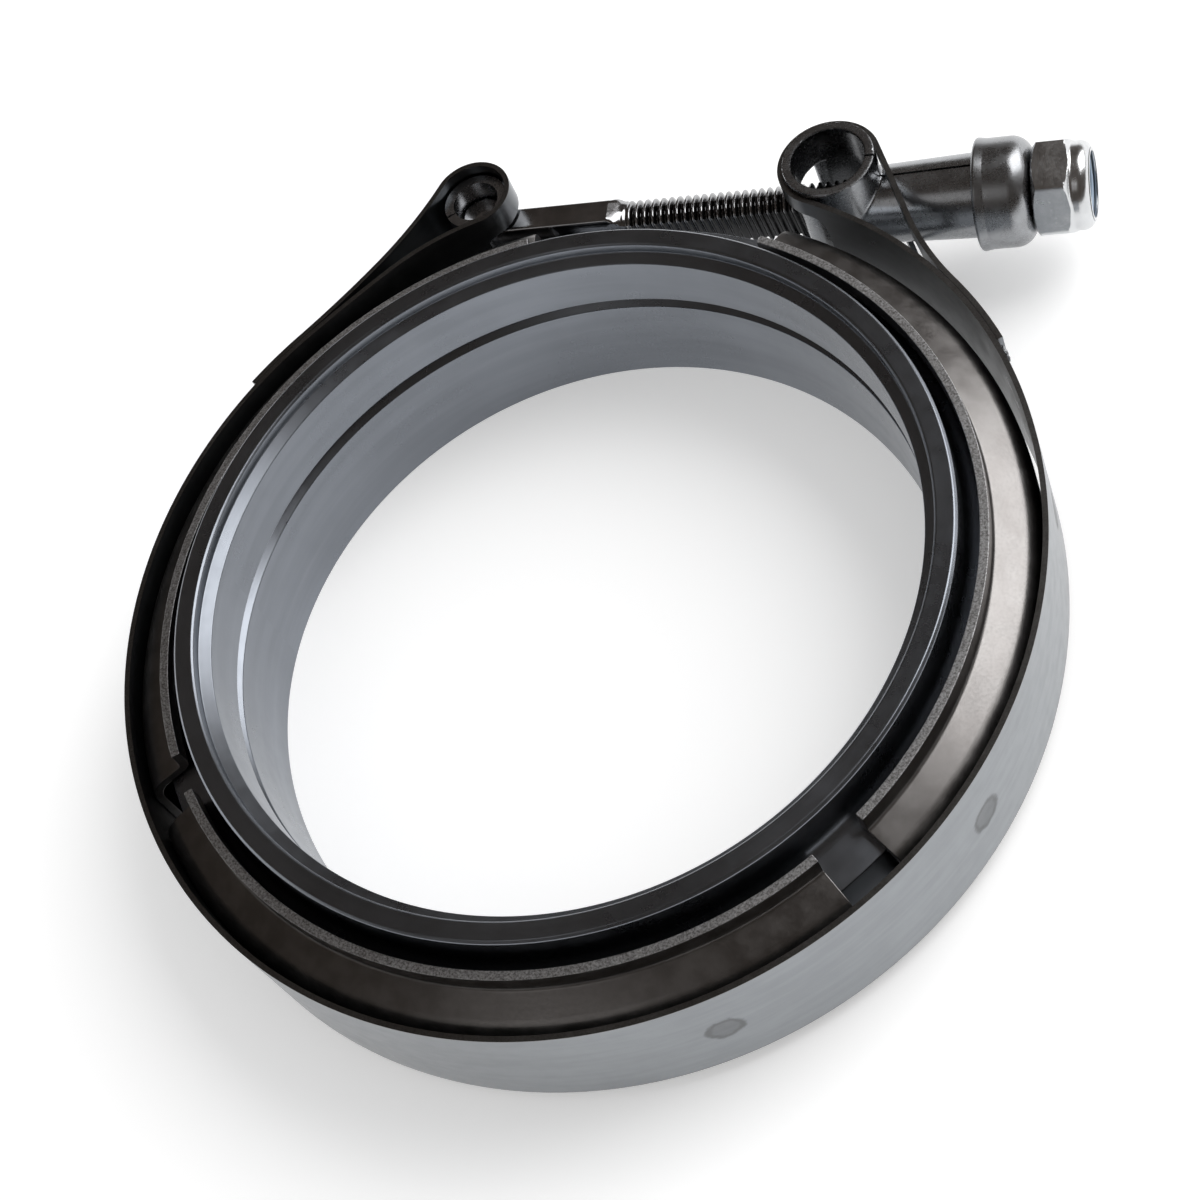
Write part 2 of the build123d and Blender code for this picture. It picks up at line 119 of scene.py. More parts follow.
def arc_from(start: np.ndarray, angle: float, end: np.ndarray, step: float) -> np.ndarray:
    """Points on the arc that leaves a point along an angle and reaches another.

    Args:
        start: First point.
        angle: Direction at the first point in degrees.
        end: Last point.
        step: Longest distance between two points along the arc.

    Returns:
        Points of shape (n, 2), with both ends.
    """
    centre = arc_centre(start, angle, end)
    first, last = (math.degrees(math.atan2(*(point - centre)[::-1])) for point in (start, end))
    turns_left = heading(angle + 90) @ (centre - start) > 0
    sweep = (last - first) % 360 if turns_left else -((first - last) % 360)
    return arc(tuple(centre), float(np.linalg.norm(start - centre)), first, first + sweep, step)


def bend_middle(start: np.ndarray, start_angle: float, end: np.ndarray,
                end_angle: float) -> np.ndarray:
    """Middle of two arcs that join two points with equal tangents between them.

    With the unit directions t and u and the chord v, the tangents' length d solves
    v.v - 2 d v.(t + u) = 2 d d (1 - t.u), and the middle is (start + end + d (t - u)) / 2.

    Args:
        start: First point.
        start_angle: Direction there in degrees.
        end: Last point.
        end_angle: Direction there in degrees.

    Returns:
        The middle point.
    """
    leave, arrive, chord = heading(start_angle), heading(end_angle), end - start
    spread, reach = 2 * (1 - leave @ arrive), chord @ (leave + arrive)
    length = chord @ chord / (reach + math.sqrt(reach ** 2 + spread * (chord @ chord)))
    return (start + end + (leave - arrive) * length) / 2


def bend(start: np.ndarray, start_angle: float, end: np.ndarray, end_angle: float,
         step: float) -> np.ndarray:
    """Points on the two arcs that join two points along given directions.

    Args:
        start: First point.
        start_angle: Direction there in degrees.
        end: Last point.
        end_angle: Direction there in degrees.
        step: Longest distance between two points.

    Returns:
        Points of shape (n, 2), with both ends.
    """
    middle = bend_middle(start, start_angle, end, end_angle)
    back = arc_from(end, end_angle + 180, middle, step)
    return chain(arc_from(start, start_angle, middle, step), back[::-1])


def line(start: np.ndarray, end: np.ndarray, step: float) -> np.ndarray:
    """Evenly spaced points on a straight line.

    Args:
        start: First point.
        end: Last point.
        step: Longest distance between two points.

    Returns:
        Points of shape (n, 2), with both ends.
    """
    start, end = np.asarray(start, float), np.asarray(end, float)
    count = max(2, math.ceil(np.linalg.norm(end - start) / step) + 1)
    share = np.linspace(0, 1, count)[:, None]
    return start + share * (end - start)


def chain(*runs: np.ndarray) -> np.ndarray:
    """Joins runs of points end to end and drops the doubled point at each joint.

    Args:
        runs: Arrays of shape (n, 2); each starts where the one before it ends.

    Returns:
        One array of points.
    """
    return np.concatenate([runs[0]] + [run[1:] for run in runs[1:]])


def rounded_path(corners: list[tuple[float, float]], radii: list[float],
                 segments: int = 6) -> np.ndarray:
    """Open polyline whose inner corners are arcs tangent to both sides.

    At each inner corner the arc starts radius / tan(half the inner angle) before it, and its
    centre lies on the bisector at radius / sin(half the inner angle).

    Args:
        corners: Corner points.
        radii: One radius for each inner corner; 0 keeps it sharp.
        segments: Segments in each arc.

    Returns:
        Points of shape (n, 2).
    """
    points = [np.asarray(corners[0], float)[None]]
    for before, corner, after, radius in zip(corners, corners[1:], corners[2:], radii):
        corner = np.asarray(corner, float)
        if radius == 0:
            points.append(corner[None])
            continue
        to_before = np.asarray(before, float) - corner
        to_after = np.asarray(after, float) - corner
        to_before /= np.linalg.norm(to_before)
        to_after /= np.linalg.norm(to_after)
        half = math.acos(float(np.clip(to_before @ to_after, -1, 1))) / 2
        bisector = (to_before + to_after) / np.linalg.norm(to_before + to_after)
        centre = corner + bisector * radius / math.sin(half)
        first = corner + to_before * radius / math.tan(half) - centre
        last = corner + to_after * radius / math.tan(half) - centre
        share = np.linspace(0, 1, segments + 1)[:, None]
        turn = math.pi - 2 * half
        blend = (np.sin((1 - share) * turn) * first + np.sin(share * turn) * last) / math.sin(turn)
        points.append(centre + blend)
    points.append(np.asarray(corners[-1], float)[None])
    return np.concatenate(points)


def offset_path(path: np.ndarray, distance: float) -> np.ndarray:
    """Path moved sideways, with the mitre 2 / (1 + cos turn) at its corners.

    Args:
        path: Points of shape (n, 2).
        distance: Distance to the left of the path.

    Returns:
        Points of shape (n, 2).
    """
    along = np.diff(path, axis=0)
    along /= np.linalg.norm(along, axis=1, keepdims=True)
    left = np.stack([-along[:, 1], along[:, 0]], 1)
    before = np.concatenate([left[:1], left])
    after = np.concatenate([left, left[-1:]])
    total = before + after
    return path + distance * total * 2 / np.sum(total * total, 1, keepdims=True)


@dataclass
class Surface:
    """Vertices and faces that grids add up to one mesh."""

    points: list[np.ndarray] = field(default_factory=list)
    faces: list[np.ndarray] = field(default_factory=list)
    count: int = 0

    def add_points(self, points: np.ndarray) -> np.ndarray:
        """Adds points and gives their indices in the same arrangement.

        Args:
            points: Array of shape (..., 3) in millimetres.

        Returns:
            Indices of shape (...).
        """
        flat = points.reshape(-1, 3)
        index = np.arange(self.count, self.count + len(flat)).reshape(points.shape[:-1])
        self.points.append(flat)
        self.count += len(flat)
        return index

    def add_quads(self, index: np.ndarray, wrap_rows: bool = False,
                  wrap_columns: bool = False, flip: bool = False) -> None:
        """Adds the quads between neighbouring rows and columns of a grid of indices.

        Args:
            index: Indices of shape (rows, columns).
            wrap_rows: Whether the last row joins the first.
            wrap_columns: Whether the last column joins the first.
            flip: Whether the faces turn the other way.
        """
        if wrap_rows:
            index = np.concatenate([index, index[:1]])
        if wrap_columns:
            index = np.concatenate([index, index[:, :1]], 1)
        quads = np.stack([index[:-1, :-1], index[1:, :-1], index[1:, 1:], index[:-1, 1:]], -1)
        quads = quads.reshape(-1, 4)
        self.faces.append(quads[:, ::-1] if flip else quads)

    def add_grid(self, points: np.ndarray, wrap_rows: bool = False, wrap_columns: bool = False,
                 flip: bool = False) -> np.ndarray:
        """Adds a grid of points with its quads.

        Args:
            points: Array of shape (rows, columns, 3) in millimetres.
            wrap_rows: Whether the last row joins the first.
            wrap_columns: Whether the last column joins the first.
            flip: Whether the faces turn the other way.

        Returns:
            Indices of shape (rows, columns).
        """
        index = self.add_points(points)
        self.add_quads(index, wrap_rows, wrap_columns, flip)
        return index

    def add_fan(self, ring: np.ndarray, centre: np.ndarray, flip: bool = False) -> None:
        """Closes a ring of indices with triangles to one centre point.

        Args:
            ring: Indices round the ring.
            centre: The centre point in millimetres.
            flip: Whether the faces turn the other way.
        """
        middle = self.add_points(centre[None])[0]
        after = np.roll(ring, -1)
        fan = np.stack([ring, after, np.full_like(ring, middle)], 1)
        self.faces.append(fan[:, ::-1] if flip else fan)

    def add_plug(self, points: np.ndarray) -> None:
        """Adds a tube of points and closes both its ends at their middles.

        Args:
            points: Array of shape (steps round, steps along, 3) in millimetres.
        """
        index = self.add_grid(points, wrap_rows=True)
        for column, flip in ((0, True), (-1, False)):
            self.add_fan(index[:, column], points[:, column].mean(0), flip)

    def build(self, name: str, place: Matrix | None = None) -> bpy.types.Object:
        """Makes the mesh object, with its place in the mesh and merged doubles.

        Args:
            name: Name of the object.
            place: Matrix in metres that puts the points in the frame.

        Returns:
            The object, at the origin, with outward faces.
        """
        vertices = np.concatenate(self.points) * MM
        mesh = bpy.data.meshes.new(name)
        mesh.vertices.add(len(vertices))
        mesh.vertices.foreach_set("co", vertices.astype(np.float32).ravel())
        sizes = np.concatenate([np.full(len(block), block.shape[1]) for block in self.faces])
        corners = np.concatenate([block.ravel() for block in self.faces])
        mesh.loops.add(len(corners))
        mesh.loops.foreach_set("vertex_index", corners.astype(np.int32))
        mesh.polygons.add(len(sizes))
        starts = np.concatenate([[0], np.cumsum(sizes)[:-1]])
        mesh.polygons.foreach_set("loop_start", starts.astype(np.int32))
        mesh.update(calc_edges=True)
        if place is not None:
            mesh.transform(place)
        body = bpy.data.objects.new(name, mesh)
        bpy.context.scene.collection.objects.link(body)
        clean_mesh(body)
        return body


def clean_mesh(body: bpy.types.Object) -> None:
    """Merges doubles, drops flat faces and turns the faces outwards.

    Args:
        body: The piece.
    """
    work = bmesh.new()
    work.from_mesh(body.data)
    bmesh.ops.remove_doubles(work, verts=work.verts, dist=MERGE)
    bmesh.ops.dissolve_degenerate(work, edges=work.edges, dist=FLAT)
    bmesh.ops.recalc_face_normals(work, faces=work.faces)
    work.to_mesh(body.data)
    work.free()
    body.data.shade_smooth()


def round_edges(body: bpy.types.Object, width: float) -> None:
    """Rounds the sharp edges with a Bevel modifier that keeps flat faces flat.

    Args:
        body: The piece.
        width: Width of the rounding in millimetres.
    """
    bevel = body.modifiers.new("rounded_edges", "BEVEL")
    bevel.width = width * MM
    bevel.segments = 2
    bevel.limit_method = "ANGLE"
    bevel.angle_limit = math.radians(EDGE_ANGLE)
    bevel.harden_normals = True
    bevel.use_clamp_overlap = True


def add_wall(body: bpy.types.Object, thickness: float, even: bool = False) -> None:
    """Gives a middle surface its wall, half to each side.

    Args:
        body: The piece.
        thickness: Thickness of the sheet in millimetres.
        even: Whether the wall keeps its thickness round bends.
    """
    wall = body.modifiers.new("wall", "SOLIDIFY")
    wall.thickness = thickness * MM
    wall.offset = 0
    wall.use_even_offset = even


def ring_grid(profile: np.ndarray, angles: np.ndarray) -> np.ndarray:
    """Profile of (radius, height) carried round Z: (r cos a, r sin a, h).

    Args:
        profile: Points of shape (n, 2).
        angles: Angles in degrees, of shape (m,).

    Returns:
        Points of shape (m, n, 3).
    """
    turn = np.radians(angles)[:, None]
    radius, height = profile[:, 0][None], profile[:, 1][None]
    return np.stack([radius * np.cos(turn), radius * np.sin(turn),
                     np.broadcast_to(height, (len(turn), profile.shape[0]))], -1)


def bolt_ring(profile: np.ndarray, angles: np.ndarray) -> np.ndarray:
    """Profile of (distance, radius) carried round the bolt's line: (s, r cos a, r sin a).

    Args:
        profile: Points of shape (n, 2).
        angles: Angles in degrees, of shape (m,).

    Returns:
        Points of shape (m, n, 3) in the bolt's own axes.
    """
    turn = np.radians(angles)[:, None]
    along, radius = profile[:, 0][None], profile[:, 1][None]
    return np.stack([np.broadcast_to(along, (len(turn), profile.shape[0])),
                     radius * np.cos(turn), radius * np.sin(turn)], -1)


def full_turn(count: int) -> np.ndarray:
    """Angles of a full turn in degrees, without the last, which is the first again."""
    return np.arange(count) * 360.0 / count


def closed_turn(name: str, outline: np.ndarray, count: int, carry: Callable = ring_grid,
                place: Matrix | None = None) -> bpy.types.Object:
    """Closed outline carried all the way round an axis.

    Args:
        name: Name of the object.
        outline: Points of shape (n, 2).
        count: Steps round the axis.
        carry: ring_grid for Z, or bolt_ring for the bolt's line.
        place: Matrix in metres that puts the points in the frame.

    Returns:
        The object.
    """
    surface = Surface()
    surface.add_grid(carry(outline, full_turn(count)), wrap_rows=True, wrap_columns=True)
    return surface.build(name, place)


@dataclass(frozen=True)
class Heights:
    """Heights and radii that the pieces share, read from the frame."""

    meeting: float = float(frame_box("front_flange")[0][2])
    top: float = float(frame_box("front_flange")[1][2])
    rim_r: float = float(frame_box("rear_flange")[1][0])
    lip: float = float(frame_box("lower_retainer")[1][2])
    strap_half: float = float(frame_box("band_strap")[1][2] - frame_box("front_flange")[0][2])
    strap_r: float = float(-frame_box("band_strap")[0][1])
    slope: float = math.tan(math.radians(20.0))
    rim_half: float = 7.03
    neck_r: float = 53.8
    bore_r: float = 49.2

    def cone(self, radius: float) -> float:
        """Height of a rim's bevel above the meeting plane at a radius."""
        return self.rim_half + (self.rim_r - radius) * self.slope


HEIGHTS = Heights()
STRAP_T = 0.75


class Finish(Enum):
    """The finishes of the pieces."""

    TURNED = "turned_flange"
    RETAINER = "retainer_sheet"
    STRAP = "strap_sheet"
    ROLLED = "rolled_sheet"
    BOLT = "bolt_steel"
    COLLAR = "collar_sheet"
    NUT = "nut_plating"
    INSERT = "insert_plastic"


class Pattern(Enum):
    """Marks that a metal finish can have."""

    TURNED = "turned"
    ROLLED = "rolled"
    SPECKLED = "speckled"


@dataclass
class WeldFlange:
    """What the two turned flanges share."""

    neck_chamfer: float = 0.4
    neck_fillet: float = 2.5
    throat_chamfer: float = 0.9
    rim_break: float = 0.4
    edge_round: float = 0.14

    def turn(self, name: str, corners: list[tuple[float, float]], neck: int) -> bpy.types.Object:
        """Carries an outline round Z, with the fillet between bevel and neck.

        Args:
            name: Name of the object.
            corners: Corners of (radius, height).
            neck: Index of the corner that takes the fillet.

        Returns:
            The flange.
        """
        radii = [0.0] * (len(corners) - 2)
        radii[neck - 1] = self.neck_fillet
        body = closed_turn(name, rounded_path(corners, radii), RING_COUNT)
        round_edges(body, self.edge_round)
        return body


@dataclass
class FrontFlange(WeldFlange):
    """Female flange: tube seat at the front and a recess for the pilot ring."""

    seat_r: float = 50.8
    seat_depth: float = 2.5
    seat_step: float = 0.8
    mouth_chamfer: float = 0.3
    recess_r: float = 54.75
    recess_rise: float = 3.75

    def build(self) -> bpy.types.Object:
        """Turns the flange from its throat over seat, neck, rim and recess.

        Returns:
            The flange.
        """
        h = HEIGHTS
        recess_z = h.meeting + self.recess_rise
        step_z = h.top - self.seat_depth
        return self.turn("front_flange_turned", [
            (h.bore_r, recess_z + self.throat_chamfer),
            (h.bore_r, step_z),
            (self.seat_r, step_z + self.seat_step),
            (self.seat_r, h.top - self.mouth_chamfer),
            (self.seat_r + self.mouth_chamfer, h.top),
            (h.neck_r - self.neck_chamfer, h.top),
            (h.neck_r, h.top - self.neck_chamfer),
            (h.neck_r, h.meeting + h.cone(h.neck_r)),
            (h.rim_r, h.meeting + h.rim_half),
            (h.rim_r, h.meeting + self.rim_break),
            (h.rim_r - self.rim_break, h.meeting),
            (self.recess_r, h.meeting),
            (self.recess_r, recess_z),
            (h.bore_r + self.throat_chamfer, recess_z),
        ], neck=7)


@dataclass
class RearFlange(WeldFlange):
    """Male flange: plain neck at the back and the pilot ring at the front.

    A hair's gap keeps its face from lying in the front flange's.
    """

    pilot_r: float = 54.55
    pilot_rise: float = 3.6
    joint_gap: float = 0.01

    def build(self) -> bpy.types.Object:
        """Turns the flange from its back end over neck, rim and pilot ring.

        Returns:
            The flange.
        """
        h = HEIGHTS
        meeting = h.meeting - self.joint_gap
        pilot_z = h.meeting + self.pilot_rise
        return self.turn("rear_flange_turned", [
            (h.bore_r, 0.0),
            (h.neck_r - self.neck_chamfer, 0.0),
            (h.neck_r, self.neck_chamfer),
            (h.neck_r, h.meeting - h.cone(h.neck_r)),
            (h.rim_r, h.meeting - h.rim_half),
            (h.rim_r, h.meeting - self.rim_break),
            (h.rim_r - self.rim_break, meeting),
            (self.pilot_r, meeting),
            (self.pilot_r, pilot_z - self.rim_break),
            (self.pilot_r - self.rim_break, pilot_z),
            (h.bore_r + self.throat_chamfer, pilot_z),
            (h.bore_r, pilot_z - self.throat_chamfer),
        ], neck=3)


@dataclass
class Retainer:
    """One length of the rolled V section, with sheared ends."""

    name: str
    start: float
    sweep: float
    thickness: float = 1.25
    layer_gap: float = 0.03
    cone_clearance: float = 0.2
    lip_inner_r: float = 56.0
    web_bend: float = 3.2
    lip_bend: float = 1.3
    step: float = 0.6
    edge_round: float = 0.12

    def section(self) -> np.ndarray:
        """Middle line of the sheet: lip, leg, web, leg, lip.

        Returns:
            Points of (radius, height).
        """
        h = HEIGHTS
        web_r = h.strap_r - STRAP_T - self.layer_gap - self.thickness / 2
        lip_r = self.lip_inner_r + self.thickness / 2
        lift = (self.cone_clearance + self.thickness / 2) * math.hypot(1, h.slope)
        reach = h.lip - h.meeting
        half = [(web_r, h.cone(web_r) + lift), (lip_r, h.cone(lip_r) + lift), (lip_r, reach)]
        below = [(radius, -height) for radius, height in reversed(half)]
        corners = [(radius, h.meeting + height) for radius, height in below + half]
        radii = [self.lip_bend, self.web_bend, self.web_bend, self.lip_bend]
        return rounded_path(corners, radii, segments=8)

    def build(self) -> bpy.types.Object:
        """Carries the section round Z and closes its two cut ends.

        Returns:
            The retainer.
        """
        middle = self.section()
        outer = offset_path(middle, -self.thickness / 2)
        inner = offset_path(middle, self.thickness / 2)
        count = math.ceil(math.radians(self.sweep) * HEIGHTS.strap_r / self.step)
        angles = np.linspace(self.start, self.start + self.sweep, count)
        surface = Surface()
        loop = np.concatenate([outer, inner[::-1]])
        index = surface.add_grid(ring_grid(loop, angles), wrap_columns=True)
        size = len(middle)
        for row, flip in ((index[0], False), (index[-1], True)):
            surface.add_quads(np.stack([row[:size], row[size:][::-1]]), flip=flip)
        body = surface.build(f"{self.name}_rolled")
        round_edges(body, self.edge_round)
        return body


@dataclass(frozen=True)
class StrapEnd:
    """One end of the strap: where it leaves the ring, laps, folds and runs round its loop."""

    side: int
    loop_angle: float
    rise: float
    loop_r: float
    rise_angle: float
    tail_angle: float
    end_angle: float
    fold_angle: float

    def centre(self) -> np.ndarray:
        """Centre of the loop: on its angle, at the ring's radius + rise + loop radius."""
        return heading(self.loop_angle) * (BAND_R + self.rise + self.loop_r)

    def band(self) -> tuple[np.ndarray, np.ndarray]:
        """Where the band leaves the ring and where it reaches the loop."""
        return (heading(self.rise_angle) * BAND_R, heading(self.loop_angle) * (BAND_R + self.rise))

    def under(self) -> tuple[np.ndarray, float]:
        """Arc that the tail follows: the ring, or the rising band.

        Returns:
            Its centre and radius.
        """
        if self.side > 0:
            return np.zeros(2), BAND_R + TAIL_STEP
        start, stop = self.band()
        middle = bend_middle(start, self.rise_angle + 90, stop, self.loop_angle + 90)
        centre = arc_centre(stop, self.loop_angle - 90, middle)
        return centre, float(np.linalg.norm(stop - centre)) + TAIL_STEP

    def runs(self, step: float) -> list[np.ndarray]:
        """Tail, bend out to the loop, loop, and band, from the tail's end to the ring.

        Args:
            step: Longest distance between two points.

        Returns:
            Four runs of points; each starts where the one before it ends.
        """
        centre, tail_r = self.under()
        towards = -90 * self.side
        tail = arc(tuple(centre), tail_r, self.end_angle, self.tail_angle, step)
        fold = self.centre() + heading(self.fold_angle) * self.loop_r
        out = bend(tail[-1], self.tail_angle + towards, fold, self.fold_angle + towards, step)
        last = self.loop_angle + 180 if self.side < 0 else self.loop_angle - 180
        loop = arc(tuple(self.centre()), self.loop_r, self.fold_angle, last, step / 2)
        start, stop = self.band()
        band = bend(stop, self.loop_angle - towards, start, self.rise_angle - towards, step)
        return [tail, out, loop, band]


BAND_R = HEIGHTS.strap_r - STRAP_T / 2
TAIL_STEP = STRAP_T + 0.06
LEFT_END = StrapEnd(1, 112.1, 2.7, 5.6, 139.0, 140.0, 148.6, 160.0)
RIGHT_END = StrapEnd(-1, 67.83, 2.8, 7.135, -8.0, 42.0, 30.2, 25.0)


@dataclass
class Strap:
    """Flat strip: ring, two folded loops with slots, and two tails spot welded to the ring."""

    left_slot_half: float = 5.1
    left_slot_low: float = -50.0
    left_slot_high: float = 62.0
    left_slot_reach: float = 2.2
    right_slot_half: float = 6.5
    right_slot_low: float = 245.0
    right_slot_tail: float = 2.9
    right_slot_reach: float = 3.3
    slot_power: float = 3.4
    weld_angles: tuple[float, ...] = (-25.7, 14.0, -63.3, -122.7, 157.0, 203.0)
    weld_r: float = 2.6
    weld_depth: float = 0.07
    along_step: float = 0.55
    across_count: int = 15
    edge_round: float = 0.1

    def path(self) -> tuple[np.ndarray, dict[str, float]]:
        """Middle line of the strip from the left tail's end to the right tail's end.

        Returns:
            Points of shape (n, 2), and the path lengths at the slots' ends.
        """
        step = self.along_step
        left = LEFT_END.runs(step)
        right = [run[::-1] for run in RIGHT_END.runs(step)][::-1]
        ring = arc((0.0, 0.0), BAND_R, LEFT_END.rise_angle, RIGHT_END.rise_angle + 360, step)
        runs = [*left, ring, *right]
        lengths = [float(np.sum(np.linalg.norm(np.diff(run, axis=0), axis=1))) for run in runs]
        at = np.cumsum(lengths)
        first = math.radians(LEFT_END.fold_angle - self.left_slot_high) * LEFT_END.loop_r
        last = math.radians(LEFT_END.fold_angle - self.left_slot_low) * LEFT_END.loop_r
        under = math.radians(RIGHT_END.loop_angle + 180 - self.right_slot_low) * RIGHT_END.loop_r
        fold = right[2]
        middle = bend_middle(fold[0], RIGHT_END.fold_angle - 90, fold[-1],
                             RIGHT_END.tail_angle - 90)
        nearest = int(np.argmin(np.linalg.norm(fold - middle, axis=1)))
        to_middle = float(np.sum(np.linalg.norm(np.diff(fold[:nearest + 1], axis=0), axis=1)))
        marks = {
            "left_start": at[1] + first - self.left_slot_reach,
            "left_end": at[1] + last + self.left_slot_reach,
            "right_start": at[5] + under - self.right_slot_reach,
            "right_end": at[6] + to_middle + self.right_slot_tail + self.right_slot_reach,
        }
        return chain(*runs), marks

    def slot_half(self, along: np.ndarray, marks: dict[str, float]) -> np.ndarray:
        """Half width of the slots along the strip, 0 where there is none.

        Each end is a superellipse: half * (1 - (1 - d / reach) ** power) ** (1 / power), where d
        is the distance from the slot's end.

        Args:
            along: Path lengths.
            marks: Path lengths of the slots' ends.

        Returns:
            Half widths in millimetres.
        """
        total = np.zeros_like(along)
        slots = (("left", self.left_slot_half, self.left_slot_reach),
                 ("right", self.right_slot_half, self.right_slot_reach))
        for side, half, reach in slots:
            inside = np.minimum(along - marks[f"{side}_start"], marks[f"{side}_end"] - along)
            share = np.clip(1 - inside / reach, 0, 1)
            width = half * (1 - share ** self.slot_power) ** (1 / self.slot_power)
            total = np.where(inside > 0, width, total)
        return total

    def build(self) -> bpy.types.Object:
        """Spreads the strip over its path, with the welds pressed in, and gives it its wall.

        Returns:
            The strap.
        """
        path, marks = self.path()
        along = np.concatenate([[0], np.cumsum(np.linalg.norm(np.diff(path, axis=0), axis=1))])
        ends = [marks[key] for key in ("left_start", "left_end", "right_start", "right_end")]
        inward = (1, -1, 1, -1)
        near = 1 - np.cos(np.linspace(0, math.pi / 2, 12))
        reaches = [self.left_slot_reach] * 2 + [self.right_slot_reach] * 2
        extra = [end + way * near * reach for end, way, reach in zip(ends, inward, reaches)]
        places = np.unique(np.concatenate([along, *extra]).round(4))
        points = np.stack([np.interp(places, along, path[:, axis]) for axis in (0, 1)], 1)
        half = self.slot_half(places, marks)
        share = np.linspace(0, 1, self.across_count)[None]
        across = half[:, None] + share * (HEIGHTS.strap_half - half[:, None])
        radius = np.hypot(points[:, 0], points[:, 1])
        angle = np.degrees(np.arctan2(points[:, 1], points[:, 0]))
        on_ring = np.abs(radius - BAND_R) < 0.3
        press = np.zeros_like(across)
        for weld in self.weld_angles:
            away = np.radians((angle - weld + 180) % 360 - 180) * radius
            distance = np.hypot(away[:, None], across)
            dent = 0.5 + 0.5 * np.cos(np.pi * np.clip(distance / self.weld_r, 0, 1))
            press += self.weld_depth * dent * on_ring[:, None]
        scale = 1 - press / radius[:, None]
        surface = Surface()
        for side in (1, -1):
            height = HEIGHTS.meeting + side * across
            grid = np.stack([points[:, 0][:, None] * scale, points[:, 1][:, None] * scale,
                             height], -1)
            surface.add_grid(grid, flip=side < 0)
        body = surface.build("band_strap_folded")
        add_wall(body, STRAP_T, even=True)
        round_edges(body, self.edge_round)
        return body


@dataclass
class BoltLine:
    """The bolt's line: where it crosses the saddle's barrel and how it tilts."""

    barrel_x: float = float(RIGHT_END.centre()[0])
    barrel_y: float = float(RIGHT_END.centre()[1])
    drop: float = 0.7
    tilt: float = 2.6
    head_x: float = float(LEFT_END.centre()[0])
    head_y: float = float(LEFT_END.centre()[1])
    collar_end: float = 27.9
    nut_gap: float = 0.15
    nut_height: float = 8.0
    insert_depth: float = 0.6
    bolt_short: float = 1.2

    def place(self) -> Matrix:
        """Matrix in metres from the bolt's own axes to the frame."""
        spot = Vector((self.barrel_x, self.barrel_y - self.drop, HEIGHTS.meeting)) * MM
        return Matrix.Translation(spot) @ Matrix.Rotation(math.radians(self.tilt), 4, "Z")

    def barrel_place(self) -> Matrix:
        """Matrix in metres from the saddle's barrel to the frame."""
        spot = Vector((self.barrel_x, self.barrel_y, HEIGHTS.meeting)) * MM
        return Matrix.Translation(spot)

    def head_place(self) -> Matrix:
        """Matrix in metres from the trunnion's middle to the frame."""
        return Matrix.Translation(Vector((self.head_x, self.head_y, HEIGHTS.meeting)) * MM)

    def head_distance(self) -> float:
        """Distance along the bolt from the saddle's barrel back to the trunnion."""
        return (self.head_x - self.barrel_x) / math.cos(math.radians(self.tilt))

    def nut_start(self) -> float:
        """Where the nut's face lies along the bolt."""
        return self.collar_end + self.nut_gap

    def nut_end(self) -> float:
        """Where the nut ends along the bolt."""
        return self.nut_start() + self.nut_height


BOLT_LINE = BoltLine()


